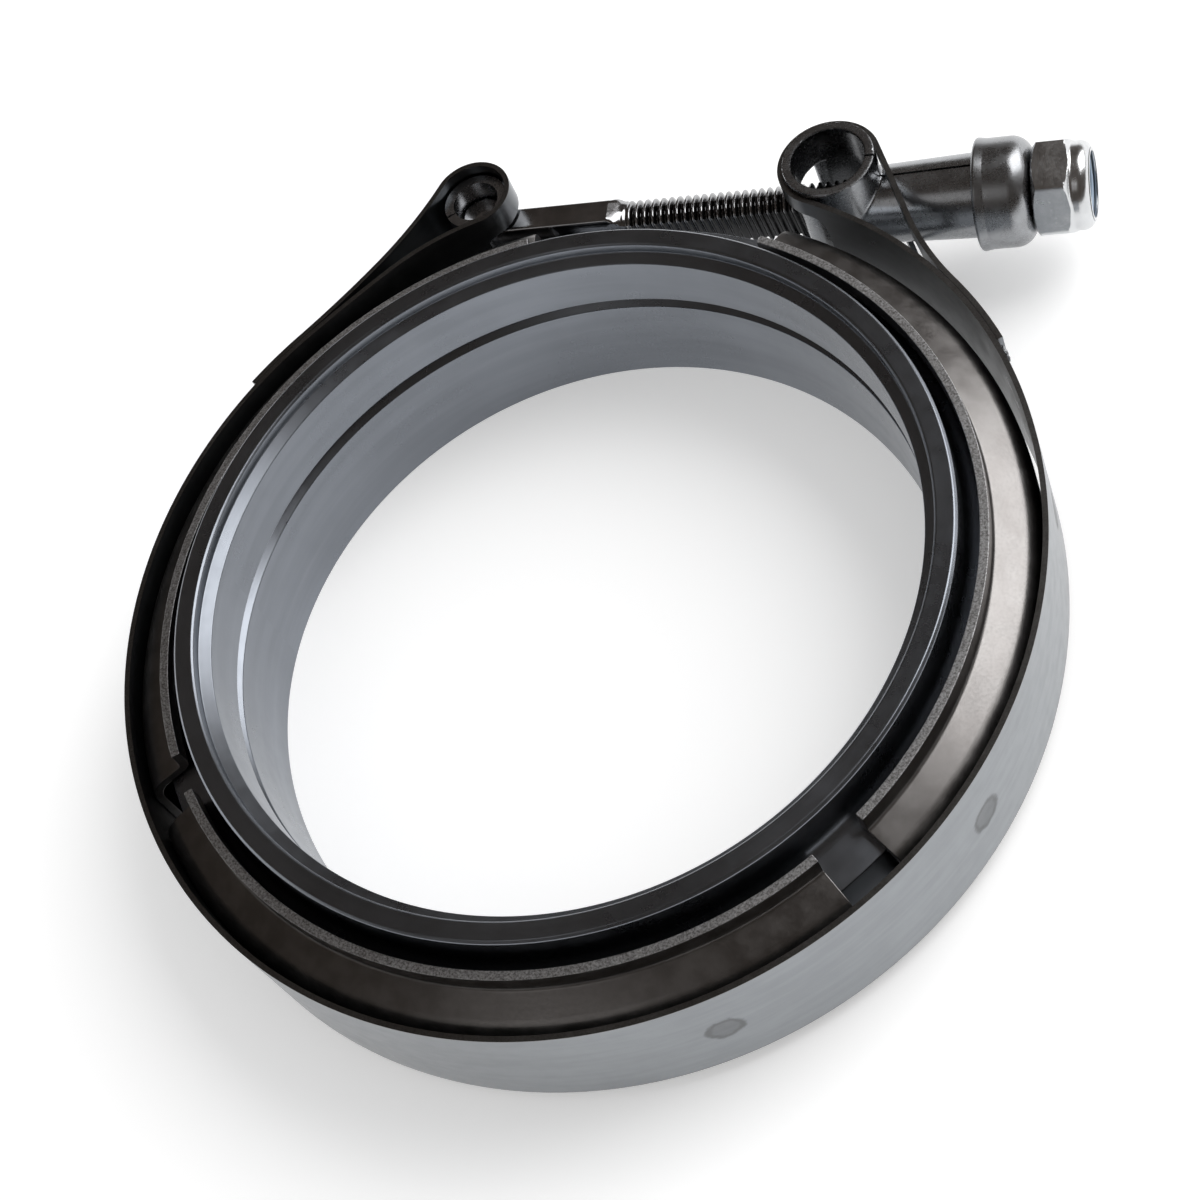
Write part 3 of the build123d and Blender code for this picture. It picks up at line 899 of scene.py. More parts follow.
@dataclass
class Bolt:
    """T-bolt: round head, flat shank, taper and a rolled thread."""

    thread_r: float = 4.0
    pitch: float = 1.25
    thread_depth: float = 0.72
    crest_share: float = 0.16
    root_share: float = 0.2
    thread_start: float = -32.37
    taper: float = 2.3
    shank_half_t: float = 2.25
    shank_half_w: float = 4.7
    heel: float = 1.6
    head_r: float = 3.3
    steps_per_turn: int = 16
    around: int = 72
    tip_chamfer: float = 0.9
    shank_power: float = 9.0
    flank_bend: float = 0.35
    run_in_turns: float = 1.1
    head_edge: float = 0.5
    head_dome: float = 0.35
    sharp_angle: float = 38.0

    def section(self, along: np.ndarray) -> tuple[np.ndarray, np.ndarray, np.ndarray]:
        """Half thickness, half width and superellipse power along the bolt.

        All three run from the flat shank's values to the round thread's with a smooth step.

        Args:
            along: Distances along the bolt.

        Returns:
            Half thickness, half width, and power.
        """
        share = np.clip((along - self.thread_start + self.taper) / self.taper, 0, 1)
        smooth = share * share * (3 - 2 * share)
        thick = self.shank_half_t + (self.thread_r - self.shank_half_t) * smooth
        wide = self.shank_half_w + (self.thread_r - self.shank_half_w) * share
        power = 2 + (self.shank_power - 2) * (1 - smooth) ** 1.5
        return thick, wide, power

    def thread_drop(self, along: np.ndarray, angle: np.ndarray, end: float) -> np.ndarray:
        """Depth of the thread below its crest: a trapezoid wave of the phase s / pitch - a / 360.

        Args:
            along: Distances along the bolt, of shape (n, 1).
            angle: Angles in degrees, of shape (1, m).
            end: Where the bolt ends.

        Returns:
            Depths of shape (n, m).
        """
        phase = (along / self.pitch - angle / 360.0) % 1.0
        away = np.abs(phase - 0.5) * 2
        flank = 1 - self.crest_share - self.root_share
        cut = np.clip((away - self.crest_share) / flank, 0, 1)
        cut = cut * cut * (3 - 2 * cut) * self.flank_bend + cut * (1 - self.flank_bend)
        run_in = np.clip((along - self.thread_start) / (self.run_in_turns * self.pitch), 0, 1)
        chamfer = np.clip(along - (end - self.tip_chamfer), 0, None)
        return np.maximum(self.thread_depth * cut * run_in, chamfer)

    def build(self) -> bpy.types.Object:
        """Makes the bolt and its head.

        Returns:
            The bolt.
        """
        line_ = BOLT_LINE
        end = line_.nut_end() - line_.insert_depth - line_.bolt_short
        start = line_.head_distance()
        shank = np.linspace(start, self.thread_start - self.taper, 40)
        fine = self.pitch / self.steps_per_turn
        rest = np.arange(self.thread_start - self.taper + fine, end, fine)
        along = np.concatenate([shank, rest, [end]])[:, None]
        angle = full_turn(self.around)[None]
        thick, wide, power = self.section(along)
        turn = np.radians(angle)
        cosine, sine = np.cos(turn), np.sin(turn)
        across = thick * np.sign(cosine) * np.abs(cosine) ** (2 / power)
        height = wide * np.sign(sine) * np.abs(sine) ** (2 / power)
        keep = 1 - self.thread_drop(along, angle, end) / self.thread_r
        heel = np.clip(1 - (along - start) / self.heel, 0, 1)
        lift = self.heel * (1 - np.sqrt(1 - heel * heel))
        across = np.where(across < 0, np.maximum(across, -self.shank_half_t + lift), across)
        surface = Surface()
        grid = np.stack([np.broadcast_to(along, across.shape), across * keep, height * keep], -1)
        index = surface.add_grid(grid, wrap_columns=True)
        surface.add_fan(index[0], np.array([start, 0.0, 0.0]))
        surface.add_fan(index[-1], np.array([end, 0.0, 0.0]), flip=True)
        body = surface.build("t_bolt_threaded", line_.place())
        head = self.head()
        with bpy.context.temp_override(active_object=body, selected_editable_objects=[body, head]):
            bpy.ops.object.join()
        body.data.shade_smooth()
        body.data.set_sharp_from_angle(angle=math.radians(self.sharp_angle))
        return body

    def head(self) -> bpy.types.Object:
        """Round head with a domed face at each end.

        Returns:
            The head, to be joined to the bolt.
        """
        half, radius = self.shank_half_w, self.head_r
        corners = [(0.0, half), (radius, half - self.head_dome), (radius, 0.0)]
        top = rounded_path(corners, [self.head_edge])
        outline = np.concatenate([top, (top * [1, -1])[::-1][1:]])[1:-1]
        surface = Surface()
        index = surface.add_grid(ring_grid(outline, full_turn(64)), wrap_rows=True)
        surface.add_fan(index[:, 0], np.array([0.0, 0.0, half]))
        surface.add_fan(index[:, -1], np.array([0.0, 0.0, -half]), flip=True)
        return surface.build("t_bolt_head", BOLT_LINE.head_place())


@dataclass
class Trunnion:
    """Tube rolled from sheet round the bolt's head, with a seam and a window for the shank."""

    outer_r: float = 4.9
    thickness: float = 1.4
    half_length: float = 7.65
    seam: float = 215.0
    seam_gap: float = 0.3
    window_low: float = -76.0
    window_high: float = 1.0
    window_half: float = 4.85
    window_round: float = 0.9
    round_steps: int = 8
    around: int = 110
    across_count: int = 12
    edge_round: float = 0.14

    def build(self) -> bpy.types.Object:
        """Rolls the sheet: a grid of angle and height, split at the middle by the window.

        Returns:
            The trunnion.
        """
        middle_r = self.outer_r - self.thickness / 2
        gap = math.degrees(self.seam_gap / middle_r)
        first, last = self.seam - 360 + gap / 2, self.seam - gap / 2
        near = 1 - np.cos(np.linspace(0, 1.57, self.round_steps))
        edge = np.degrees(self.window_round / middle_r * near)
        angles = np.concatenate([np.linspace(first, last, self.around), self.window_low + edge,
                                 self.window_high - edge])
        angles = np.unique(angles.round(3))
        inside = np.minimum(angles - self.window_low, self.window_high - angles)
        share = np.clip(1 - np.radians(inside) * middle_r / self.window_round, 0, 1)
        corner = self.window_half - self.window_round * (1 - np.sqrt(1 - share ** 2))
        low = np.where(inside > 0, corner, 0.0)
        out = np.linspace(0, 1, self.across_count)[None]
        across = low[:, None] + out * (self.half_length - low[:, None])
        turn = np.radians(angles)[:, None]
        surface = Surface()
        for side in (1, -1):
            grid = np.stack([np.broadcast_to(middle_r * np.cos(turn), across.shape),
                             np.broadcast_to(middle_r * np.sin(turn), across.shape),
                             side * across], -1)
            surface.add_grid(grid, flip=side < 0)
        body = surface.build("bolt_trunnion_rolled", BOLT_LINE.head_place())
        add_wall(body, self.thickness)
        round_edges(body, self.edge_round)
        return body


@dataclass
class Saddle:
    """Barrel and sleeve from one sheet, with a seam along each side of the sleeve."""

    barrel_r: float = 6.7
    barrel_half: float = 10.4
    thickness: float = 1.4
    sleeve_r: float = 5.6
    sleeve_end_r: float = 6.25
    sleeve_end: float = 24.9
    seam_gap: float = 0.4
    seam_rise: float = 0.5
    window_half_y: float = 4.9
    window_half_z: float = 4.3
    sleeve_root: float = 2.0
    voxel: float = 0.2
    smooth_share: float = 0.5
    smooth_rounds: int = 5
    sharp_angle: float = 40.0

    def combine(self, body: bpy.types.Object, other: bpy.types.Object,
                operation: str = "DIFFERENCE") -> None:
        """Cuts another closed mesh from this one, or joins it, and removes it.

        Args:
            body: The mesh that stays.
            other: The cutter, or the mesh to join.
            operation: DIFFERENCE or UNION.
        """
        step = body.modifiers.new("combine", "BOOLEAN")
        step.operation = operation
        step.solver = "EXACT"
        step.object = other
        apply_modifiers(body)
        bpy.data.objects.remove(other)

    def build(self) -> bpy.types.Object:
        """Joins barrel and sleeve, cuts the openings, and smooths the bends between them.

        Returns:
            The saddle.
        """
        t, half = self.thickness, self.barrel_half
        place, barrel_place = BOLT_LINE.place(), BOLT_LINE.barrel_place()
        outer = np.array([(self.barrel_r, -half), (self.barrel_r, half)])
        wall = np.concatenate([outer, (outer - [t, 0])[::-1]])
        barrel = closed_turn("saddle_rolled", wall, TUBE_COUNT, ring_grid, barrel_place)
        outer = np.array([(self.sleeve_root, self.sleeve_r), (self.barrel_r, self.sleeve_r),
                          (self.sleeve_end, self.sleeve_end_r)])
        inner = outer - [0, t]
        wall = np.concatenate([outer, inner[::-1]])
        sleeve = closed_turn("sleeve", wall, TUBE_COUNT, bolt_ring, place)
        turns = full_turn(TUBE_COUNT)
        bore = np.array([(self.barrel_r - t, -half * 2), (self.barrel_r - t, half * 2)])
        self.combine(sleeve, self.plug(ring_grid(bore, turns), barrel_place))
        self.combine(barrel, self.plug(bolt_ring(inner, turns), place))
        self.combine(barrel, sleeve, "UNION")
        self.combine(barrel, self.slab((-self.barrel_r * 2, 0.0),
                                       (-self.window_half_y, self.window_half_y),
                                       (-self.window_half_z, self.window_half_z), barrel_place))
        remesh = barrel.modifiers.new("even_mesh", "REMESH")
        remesh.mode = "VOXEL"
        remesh.voxel_size = self.voxel * MM
        remesh.adaptivity = 0.0
        smooth = barrel.modifiers.new("soft_bends", "SMOOTH")
        smooth.factor = self.smooth_share
        smooth.iterations = self.smooth_rounds
        apply_modifiers(barrel)
        seam = (self.seam_rise - self.seam_gap / 2, self.seam_rise + self.seam_gap / 2)
        self.combine(barrel, self.slab((0.0, self.sleeve_end + 1), seam,
                                       (-half * 1.1, half * 1.1), place))
        barrel.data.shade_smooth()
        barrel.data.set_sharp_from_angle(angle=math.radians(self.sharp_angle))
        return barrel

    def plug(self, points: np.ndarray, place: Matrix) -> bpy.types.Object:
        """Closed tube used as a cutter.

        Args:
            points: Array of shape (steps round, steps along, 3) in millimetres.
            place: Matrix in metres.

        Returns:
            The tube.
        """
        surface = Surface()
        surface.add_plug(points)
        return surface.build("plug", place)

    def slab(self, x: tuple[float, float], y: tuple[float, float], z: tuple[float, float],
             place: Matrix) -> bpy.types.Object:
        """Closed box used as a cutter.

        Args:
            x: Low and high x.
            y: Low and high y.
            z: Low and high z.
            place: Matrix in metres.

        Returns:
            The box.
        """
        ring = np.array([(y[0], z[0]), (y[1], z[0]), (y[1], z[1]), (y[0], z[1])])
        grid = np.stack([np.column_stack([np.full(4, value), ring]) for value in x])
        surface = Surface()
        index = surface.add_grid(grid, wrap_columns=True)
        surface.faces += [index[0][None, ::-1], index[1][None]]
        return surface.build("slab", place)


def apply_modifiers(body: bpy.types.Object) -> None:
    """Puts the result of the modifiers into the mesh.

    Args:
        body: The piece.
    """
    graph = bpy.context.evaluated_depsgraph_get()
    made = bpy.data.meshes.new_from_object(body.evaluated_get(graph))
    body.modifiers.clear()
    old = body.data
    body.data = made
    bpy.data.meshes.remove(old)


@dataclass
class Collar:
    """Drawn cup over the sleeve's end."""

    inner_r: float = 6.35
    thickness: float = 1.5
    length: float = 7.9
    corner: float = 3.0
    flare: float = 0.25
    flare_length: float = 1.6
    hole_r: float = 4.3
    grip_share: float = 0.75
    around: int = 128
    edge_round: float = 0.1

    def build(self) -> bpy.types.Object:
        """Turns the cup's outline round the bolt's line.

        Returns:
            The collar.
        """
        end = BOLT_LINE.collar_end
        start, floor = end - self.length, end - self.thickness
        outer_r = self.inner_r + self.thickness
        corners = [
            (start + self.grip_share * self.length, self.inner_r),
            (start + self.flare_length, self.inner_r),
            (start, self.inner_r + self.flare),
            (start, outer_r + self.flare),
            (start + self.flare_length, outer_r),
            (end, outer_r),
            (end, self.hole_r),
            (floor, self.hole_r),
            (floor, self.inner_r),
        ]
        radii = [1.2, 0.35, 0.45, 1.2, self.corner, 0.3, 0.0]
        outline = rounded_path(corners, radii, segments=10)
        body = closed_turn("sleeve_collar_drawn", outline, self.around, bolt_ring,
                           BOLT_LINE.place())
        round_edges(body, self.edge_round)
        return body


@dataclass
class LockNut:
    """Six-sided nut with a round end."""

    flats: float = 13.0
    turn: float = 9.0
    hex_height: float = 4.6
    chamfer: float = 0.8
    dome_r: float = 6.3
    dome_round: float = 1.6
    bore_r: float = 4.06
    insert_r: float = 5.2
    insert_height: float = 2.2
    mouth: float = 0.5
    corner_power: float = 70.0
    step: float = 0.12
    around: int = 180
    sharp_angle: float = 28.0

    def hexagon(self, angle: np.ndarray) -> np.ndarray:
        """Distance to the flats: a / (sum of max(0, cos(angle - flat)) ** p) ** (1 / p).

        Args:
            angle: Angles in degrees.

        Returns:
            Distances in millimetres, with slightly rounded corners.
        """
        flats = np.radians(self.turn + 30 + 60 * np.arange(6))[:, None]
        facing = np.clip(np.cos(np.radians(angle)[None] - flats), 0, None)
        total = np.sum(facing ** self.corner_power, 0) ** (1 / self.corner_power)
        return self.flats / 2 / total

    def build(self) -> bpy.types.Object:
        """Carries the outline round the bolt, held inside the hexagon.

        Returns:
            The nut.
        """
        start, end = BOLT_LINE.nut_start(), BOLT_LINE.nut_end()
        corner = self.flats / 2 / math.cos(math.radians(30))
        insert_end = end - BOLT_LINE.insert_depth
        recess = insert_end - self.insert_height
        shoulder = start + self.hex_height
        outer = rounded_path([
            (start, self.bore_r + self.mouth),
            (start, self.flats / 2 - self.chamfer / 2),
            (start + self.chamfer, corner),
            (shoulder, corner),
            (shoulder + self.chamfer, self.dome_r),
            (end, self.dome_r),
            (end, self.insert_r - BOLT_LINE.insert_depth),
            (insert_end, self.insert_r),
        ], [0.0, 0.0, 0.0, 0.5, self.dome_round, 0.25], segments=10)
        dense = chain(*(line(a, b, self.step) for a, b in zip(outer, outer[1:])))
        inner = np.array([(recess, self.insert_r), (recess, self.bore_r),
                          (start + self.mouth, self.bore_r)])
        outline = np.concatenate([dense, inner])
        angles = full_turn(self.around) + self.turn
        grid = bolt_ring(outline, angles)
        radius = np.broadcast_to(outline[:, 1][None], grid.shape[:2])
        held = np.minimum(radius, self.hexagon(angles)[:, None])
        grid[..., 1:] *= (held / radius)[..., None]
        surface = Surface()
        surface.add_grid(grid, wrap_rows=True, wrap_columns=True)
        body = surface.build("lock_nut_plated", BOLT_LINE.place())
        body.data.set_sharp_from_angle(angle=math.radians(self.sharp_angle))
        return body


@dataclass
class NutInsert:
    """Locking ring in the nut's end."""

    outer_r: float = 5.18
    inner_r: float = 4.06
    height: float = 2.16
    sink: float = 0.02
    edge: float = 0.25

    def build(self) -> bpy.types.Object:
        """Turns the ring's outline round the bolt's line.

        Returns:
            The insert.
        """
        end = BOLT_LINE.nut_end() - BOLT_LINE.insert_depth - self.sink
        start = end - self.height
        middle = (start + end) / 2
        outline = rounded_path([
            (middle, self.inner_r), (start, self.inner_r), (start, self.outer_r),
            (end, self.outer_r), (end, self.inner_r), (middle + 0.01, self.inner_r),
        ], [self.edge] * 4)
        return closed_turn("nut_insert_ring", outline, TUBE_COUNT, bolt_ring, BOLT_LINE.place())


@dataclass
class WeldBead:
    """Rough lump of weld at the strap's edge, just past the right tail's end."""

    angle: float = 28.6
    length: float = 2.6
    width: float = 0.8
    height: float = 2.2
    roughness: float = 0.22
    sunk_share: float = 0.35
    rise_share: float = 0.62
    count: int = 40

    def build(self) -> bpy.types.Object:
        """Shapes an ellipsoid with lumps: r = 1 + roughness * sum of sines of the two angles.

        Returns:
            The bead.
        """
        turn = np.radians(full_turn(2 * self.count))[:, None]
        rise = np.radians(np.linspace(-88, 88, self.count))[None]
        lumps = (np.sin(5 * turn + 1.3) * np.cos(4 * rise) + np.sin(9 * turn) * np.cos(7 * rise)
                 + 0.7 * np.sin(14 * turn + 0.5) * np.sin(11 * rise))
        size = 1 + self.roughness * lumps * np.cos(rise) / 2
        along = size * np.cos(turn) * np.cos(rise) * self.length / 2
        out = size * np.sin(turn) * np.cos(rise) * self.width / 2
        up = np.broadcast_to(size * np.sin(rise) * self.height / 2, along.shape)
        centre, tail_r = RIGHT_END.under()
        spot = centre + heading(self.angle) * (tail_r - self.width * self.sunk_share)
        ahead, outward = heading(self.angle + 90), heading(self.angle)
        level = HEIGHTS.meeting + HEIGHTS.strap_half - self.height * self.rise_share
        grid = np.stack([spot[0] + along * ahead[0] + out * outward[0],
                         spot[1] + along * ahead[1] + out * outward[1], level + up], -1)
        surface = Surface()
        surface.add_plug(grid)
        return surface.build("tail_weld_bead")


class NodeSheet:
    """Short calls to make and join shader nodes in one tree."""

    def __init__(self, tree: bpy.types.NodeTree) -> None:
        """Starts on an empty tree."""
        self.tree = tree
        tree.nodes.clear()

    def add(self, kind: str, **values: object) -> bpy.types.Node:
        """Adds a node and sets its properties.

        Args:
            kind: The node's type name without its prefix.
            values: Properties of the node.

        Returns:
            The node.
        """
        node = self.tree.nodes.new(f"ShaderNode{kind}")
        for name, value in values.items():
            setattr(node, name, value)
        return node

    def put(self, socket: bpy.types.NodeSocket, value: object) -> None:
        """Links an output to a socket, or sets the socket's value.

        Args:
            socket: The input to fill.
            value: An output, or a plain value.
        """
        if isinstance(value, bpy.types.NodeSocket):
            self.tree.links.new(value, socket)
        else:
            socket.default_value = value

    def feed(self, node: bpy.types.Node, **inputs: object) -> None:
        """Sets or links a node's inputs by name, with underscores for spaces."""
        for name, value in inputs.items():
            self.put(node.inputs[name.replace("_", " ")], value)

    def place(self) -> bpy.types.NodeSocket:
        """The place on the piece, in metres."""
        return self.add("TexCoord").outputs["Object"]

    def operate(self, kind: str, operation: str, values: tuple[object, ...]) -> bpy.types.Node:
        """Node of one operation, with its inputs in order.

        Args:
            kind: Math or VectorMath.
            operation: Name of the operation.
            values: Sockets or plain values.

        Returns:
            The node.
        """
        node = self.add(kind, operation=operation)
        for socket, value in zip(node.inputs, values):
            self.put(socket, value)
        return node

    def math(self, operation: str, *values: object) -> bpy.types.NodeSocket:
        """Result of a Math node."""
        return self.operate("Math", operation, values).outputs[0]

    def vector(self, operation: str, *values: object) -> bpy.types.Node:
        """Vector Math node."""
        return self.operate("VectorMath", operation, values)

    def noise(self, vector: object, scale: object, detail: float = 3.0,
              roughness: float = 0.5) -> bpy.types.NodeSocket:
        """Noise texture's value.

        Args:
            vector: Coordinates.
            scale: Scale of the pattern.
            detail: Octaves.
            roughness: Weight of the finer octaves.

        Returns:
            The value, round 0.5.
        """
        node = self.add("TexNoise")
        self.feed(node, Vector=vector, Scale=scale, Detail=detail, Roughness=roughness)
        return node.outputs["Fac"]

    def span(self, value: object, low: float, high: float, to_low: float = 0.0,
             to_high: float = 1.0) -> bpy.types.NodeSocket:
        """Map Range from low..high to another range, clamped and smooth.

        Args:
            value: The value to map.
            low: Start of the range.
            high: End of the range.
            to_low: Result at the start.
            to_high: Result at the end.

        Returns:
            The mapped value.
        """
        node = self.add("MapRange", interpolation_type="SMOOTHSTEP")
        self.feed(node, Value=value, From_Min=low, From_Max=high, To_Min=to_low, To_Max=to_high)
        return node.outputs["Result"]

    def mix(self, share: object, first: object, second: object) -> bpy.types.NodeSocket:
        """Mix of two colours.

        Args:
            share: 0 for the first colour, 1 for the second.
            first: A socket or an RGB value.
            second: A socket or an RGB value.

        Returns:
            The mixed colour.
        """
        node = self.add("Mix", data_type="RGBA")
        self.put(node.inputs[0], share)
        for socket, colour in ((node.inputs[6], first), (node.inputs[7], second)):
            self.put(socket, (*colour, 1.0) if isinstance(colour, tuple) else colour)
        return node.outputs[2]


def group_tree(name: str, inputs: dict[str, float],
               outputs: tuple[str, ...]) -> tuple[NodeSheet, object, object]:
    """Empty shader group with float inputs and outputs.

    Args:
        name: Name of the group.
        inputs: Input names and their defaults.
        outputs: Output names.

    Returns:
        A sheet on the group's tree, the given values, and the results to fill.
    """
    tree = bpy.data.node_groups.new(name, "ShaderNodeTree")
    for label, value in inputs.items():
        socket = tree.interface.new_socket(label, in_out="INPUT", socket_type="NodeSocketFloat")
        socket.default_value = value
    for label in outputs:
        tree.interface.new_socket(label, in_out="OUTPUT", socket_type="NodeSocketFloat")
    sheet = NodeSheet(tree)
    given, result = tree.nodes.new("NodeGroupInput"), tree.nodes.new("NodeGroupOutput")
    return sheet, given.outputs, result.inputs


def two_noises(sheet: NodeSheet, x: object, y: object, z: object, result: object,
               names: tuple[str, str], stretch: tuple[float, float, float]) -> None:
    """Fills two results: fine noise of a vector, and coarser noise of the vector times a stretch.

    Args:
        sheet: The group's sheet.
        x: First part of the vector.
        y: Second part.
        z: Third part.
        result: The group's results.
        names: Names of the fine and the coarse result.
        stretch: Factor of each part in the coarse noise.
    """
    joined = sheet.add("CombineXYZ")
    sheet.feed(joined, X=x, Y=y, Z=z)
    sheet.put(result[names[0]], sheet.noise(joined.outputs[0], 1.0, 2.0))
    coarse = sheet.vector("MULTIPLY", joined.outputs[0], stretch)
    sheet.put(result[names[1]], sheet.noise(coarse.outputs[0], 1.0, 3.0))


def turned_marks_group() -> bpy.types.NodeTree:
    """Fine rings left by a lathe: noise of radius and height that hardly changes with angle.

    Returns:
        The group, with the outputs Height and Tone.
    """
    sheet, given, result = group_tree("turned_marks", {"Rings per mm": 6.0, "Wander": 1.0},
                                      ("Height", "Tone"))
    place = sheet.add("SeparateXYZ")
    sheet.feed(place, Vector=sheet.place())
    x, y, z = place.outputs
    radius = sheet.math("SQRT", sheet.math("ADD", sheet.math("MULTIPLY", x, x),
                                           sheet.math("MULTIPLY", y, y)))
    per_metre = sheet.math("MULTIPLY", given["Rings per mm"], 1 / MM)
    two_noises(sheet, sheet.math("MULTIPLY", radius, per_metre),
               sheet.math("MULTIPLY", z, per_metre),
               sheet.math("MULTIPLY", sheet.math("ARCTAN2", y, x), given["Wander"]),
               result, ("Height", "Tone"), (0.08, 0.08, 1.5))
    return sheet.tree


def smudge_group() -> bpy.types.NodeTree:
    """Soft blotches from handling: two noises of the place in the frame.

    Returns:
        The group, with the outputs Large and Small.
    """
    sheet, given, result = group_tree("smudges", {"Size": 12.0}, ("Large", "Small"))
    place = sheet.place()
    scale = sheet.math("DIVIDE", 1 / MM, given["Size"])
    sheet.put(result["Large"], sheet.noise(place, scale))
    sheet.put(result["Small"], sheet.noise(place, sheet.math("MULTIPLY", scale, 9.0), 4.0))
    return sheet.tree


def grain_group() -> bpy.types.NodeTree:
    """Rolling grain of sheet: noise that is long round the ring and fine across it.

    Returns:
        The group, with the outputs Height and Streaks.
    """
    sheet, given, result = group_tree("rolling_grain", {"Lines per mm": 5.0, "Length": 0.02},
                                      ("Height", "Streaks"))
    place = sheet.add("SeparateXYZ")
    sheet.feed(place, Vector=sheet.place())
    x, y, z = place.outputs
    per_metre = sheet.math("MULTIPLY", given["Lines per mm"], 1 / MM)
    slow = sheet.math("MULTIPLY", per_metre, given["Length"])
    two_noises(sheet, sheet.math("MULTIPLY", x, slow), sheet.math("MULTIPLY", y, slow),
               sheet.math("MULTIPLY", z, per_metre), result, ("Height", "Streaks"),
               (0.6, 0.6, 0.12))
    return sheet.tree


def sheared_group() -> bpy.types.NodeTree:
    """Mask of a sheared edge: the height above or below the middle is past the reach.

    Returns:
        The group, with the outputs Mask and Grain.
    """
    sheet, given, result = group_tree(
        "sheared_edge", {"Middle": HEIGHTS.meeting * MM, "Reach": 0.0095}, ("Mask", "Grain"))
    coordinate = sheet.place()
    place = sheet.add("SeparateXYZ")
    sheet.feed(place, Vector=coordinate)
    height = sheet.math("ABSOLUTE", sheet.math("SUBTRACT", place.outputs[2], given["Middle"]))
    over = sheet.math("SUBTRACT", height, given["Reach"])
    sheet.put(result["Mask"], sheet.span(over, -0.15 * MM, -0.02 * MM))
    sheet.put(result["Grain"], sheet.noise(coordinate, 3500.0, 4.0, 0.7))
    return sheet.tree


def new_material(name: str) -> tuple[bpy.types.Material, NodeSheet, bpy.types.NodeSocket]:
    """Material with an empty tree.

    Args:
        name: Name of the material.

    Returns:
        The material, its sheet, and the surface socket to fill.
    """
    material = bpy.data.materials.new(name)
    material.use_nodes = True
    sheet = NodeSheet(material.node_tree)
    return material, sheet, sheet.add("OutputMaterial").inputs["Surface"]


def place_group(sheet: NodeSheet, tree: bpy.types.NodeTree,
                values: dict[str, float]) -> bpy.types.bpy_prop_collection:
    """Places a shared group in a material.

    Args:
        sheet: The material's nodes.
        tree: The group.
        values: Values of the group's inputs.

    Returns:
        The group node's outputs.
    """
    node = sheet.add("Group", node_tree=tree)
    for name, value in values.items():
        node.inputs[name].default_value = value
    return node.outputs


@dataclass(frozen=True)
class PaintedHollowShade:
    """Painted shade close to a line: darker metal in a thread's valleys or on the wall of a bore,
    where shade falls.
    """

    place: Matrix
    axis: int
    reach: tuple[float, float]
    tone: float

    def keep(self, sheet: NodeSheet) -> bpy.types.NodeSocket:
        """Mask that rises from 0 to 1 over the reach of the distance from the line.

        The distance is the length of (place - point on the line) x direction of the line.

        Args:
            sheet: The material's nodes.

        Returns:
            The mask.
        """
        away = sheet.vector("SUBTRACT", sheet.place(), self.place.translation)
        direction = self.place.col[self.axis].to_3d()
        across = sheet.vector("CROSS_PRODUCT", away.outputs[0], direction)
        length = sheet.vector("LENGTH", across.outputs[0])
        return sheet.span(length.outputs["Value"], self.reach[0] * MM, self.reach[1] * MM)


# Painted shade in the thread's valleys: darkens the metal close to the bolt's line.
THREAD_VALLEY_SHADE = PaintedHollowShade(BOLT_LINE.place(), 0, (3.35, 3.95), 0.22)
# Painted shade on the saddle barrel's inner wall.
BARREL_BORE_SHADE = PaintedHollowShade(BOLT_LINE.barrel_place(), 2, (5.4, 5.65), 0.4)
EDGE_DARK = (0.16, 0.155, 0.15)
EDGE_BRIGHT = (0.6, 0.6, 0.61)
EDGE_DULLER = 0.2
EDGE_HEIGHT = 3.0
BUMP_DISTANCE = 0.02 * MM
BLOTCH_SPAN = (0.35, 0.68)
SPECK_SPAN = (0.35, 0.7)
TONE_SPAN = (0.3, 0.7)
BLOTCH_SHARE = 0.55
# Span of normal . outward over which the painted shade on inward faces fades out.
INWARD_SHADE_SPAN = (-0.5, 0.3)


@dataclass(frozen=True)
class WeldMarks:
    """Darker, duller spots on the strap where the electrodes pressed."""

    angles: tuple[float, ...] = Strap().weld_angles
    edge: tuple[float, float] = (2.8, 2.1)
    rim_r: float = 2.2
    rim_width: tuple[float, float] = (0.7, 0.1)
    ragged: float = 1.2
    inside_share: float = 0.45
    inside_colour: tuple[float, float, float] = (0.12, 0.12, 0.12)
    rim_share: float = 0.4
    rim_colour: tuple[float, float, float] = (0.1, 0.1, 0.1)
    duller: float = 0.12

    def paint(self, sheet: NodeSheet, base: object, rough: object) -> tuple[object, object]:
        """Adds the spots: each mask is a smooth step of the distance to the spot's centre.

        Args:
            sheet: The material's nodes.
            base: The colour so far.
            rough: The roughness so far.

        Returns:
            The colour and the roughness with the spots.
        """
        place = sheet.place()
        grain = sheet.noise(place, 700.0, 3.0, 0.6)
        inside: object = 0.0
        rim: object = 0.0
        for angle in self.angles:
            centre = (*(heading(angle) * HEIGHTS.strap_r * MM), HEIGHTS.meeting * MM)
            away = sheet.vector("DISTANCE", place, centre).outputs["Value"]
            noise = sheet.math("MULTIPLY", sheet.math("SUBTRACT", grain, 0.5), self.ragged * MM)
            ragged = sheet.math("ADD", away, noise)
            low, high = self.edge
            inside = sheet.math("ADD", inside, sheet.span(ragged, low * MM, high * MM))
            ring = sheet.math("ABSOLUTE", sheet.math("SUBTRACT", ragged, self.rim_r * MM))
            low, high = self.rim_width
            rim = sheet.math("ADD", rim, sheet.span(ring, low * MM, high * MM))
        base = sheet.mix(sheet.math("MULTIPLY", inside, self.inside_share), base,
                         self.inside_colour)
        base = sheet.mix(sheet.math("MULTIPLY", rim, self.rim_share), base, self.rim_colour)
        return base, sheet.math("ADD", rough, sheet.math("MULTIPLY", inside, self.duller))


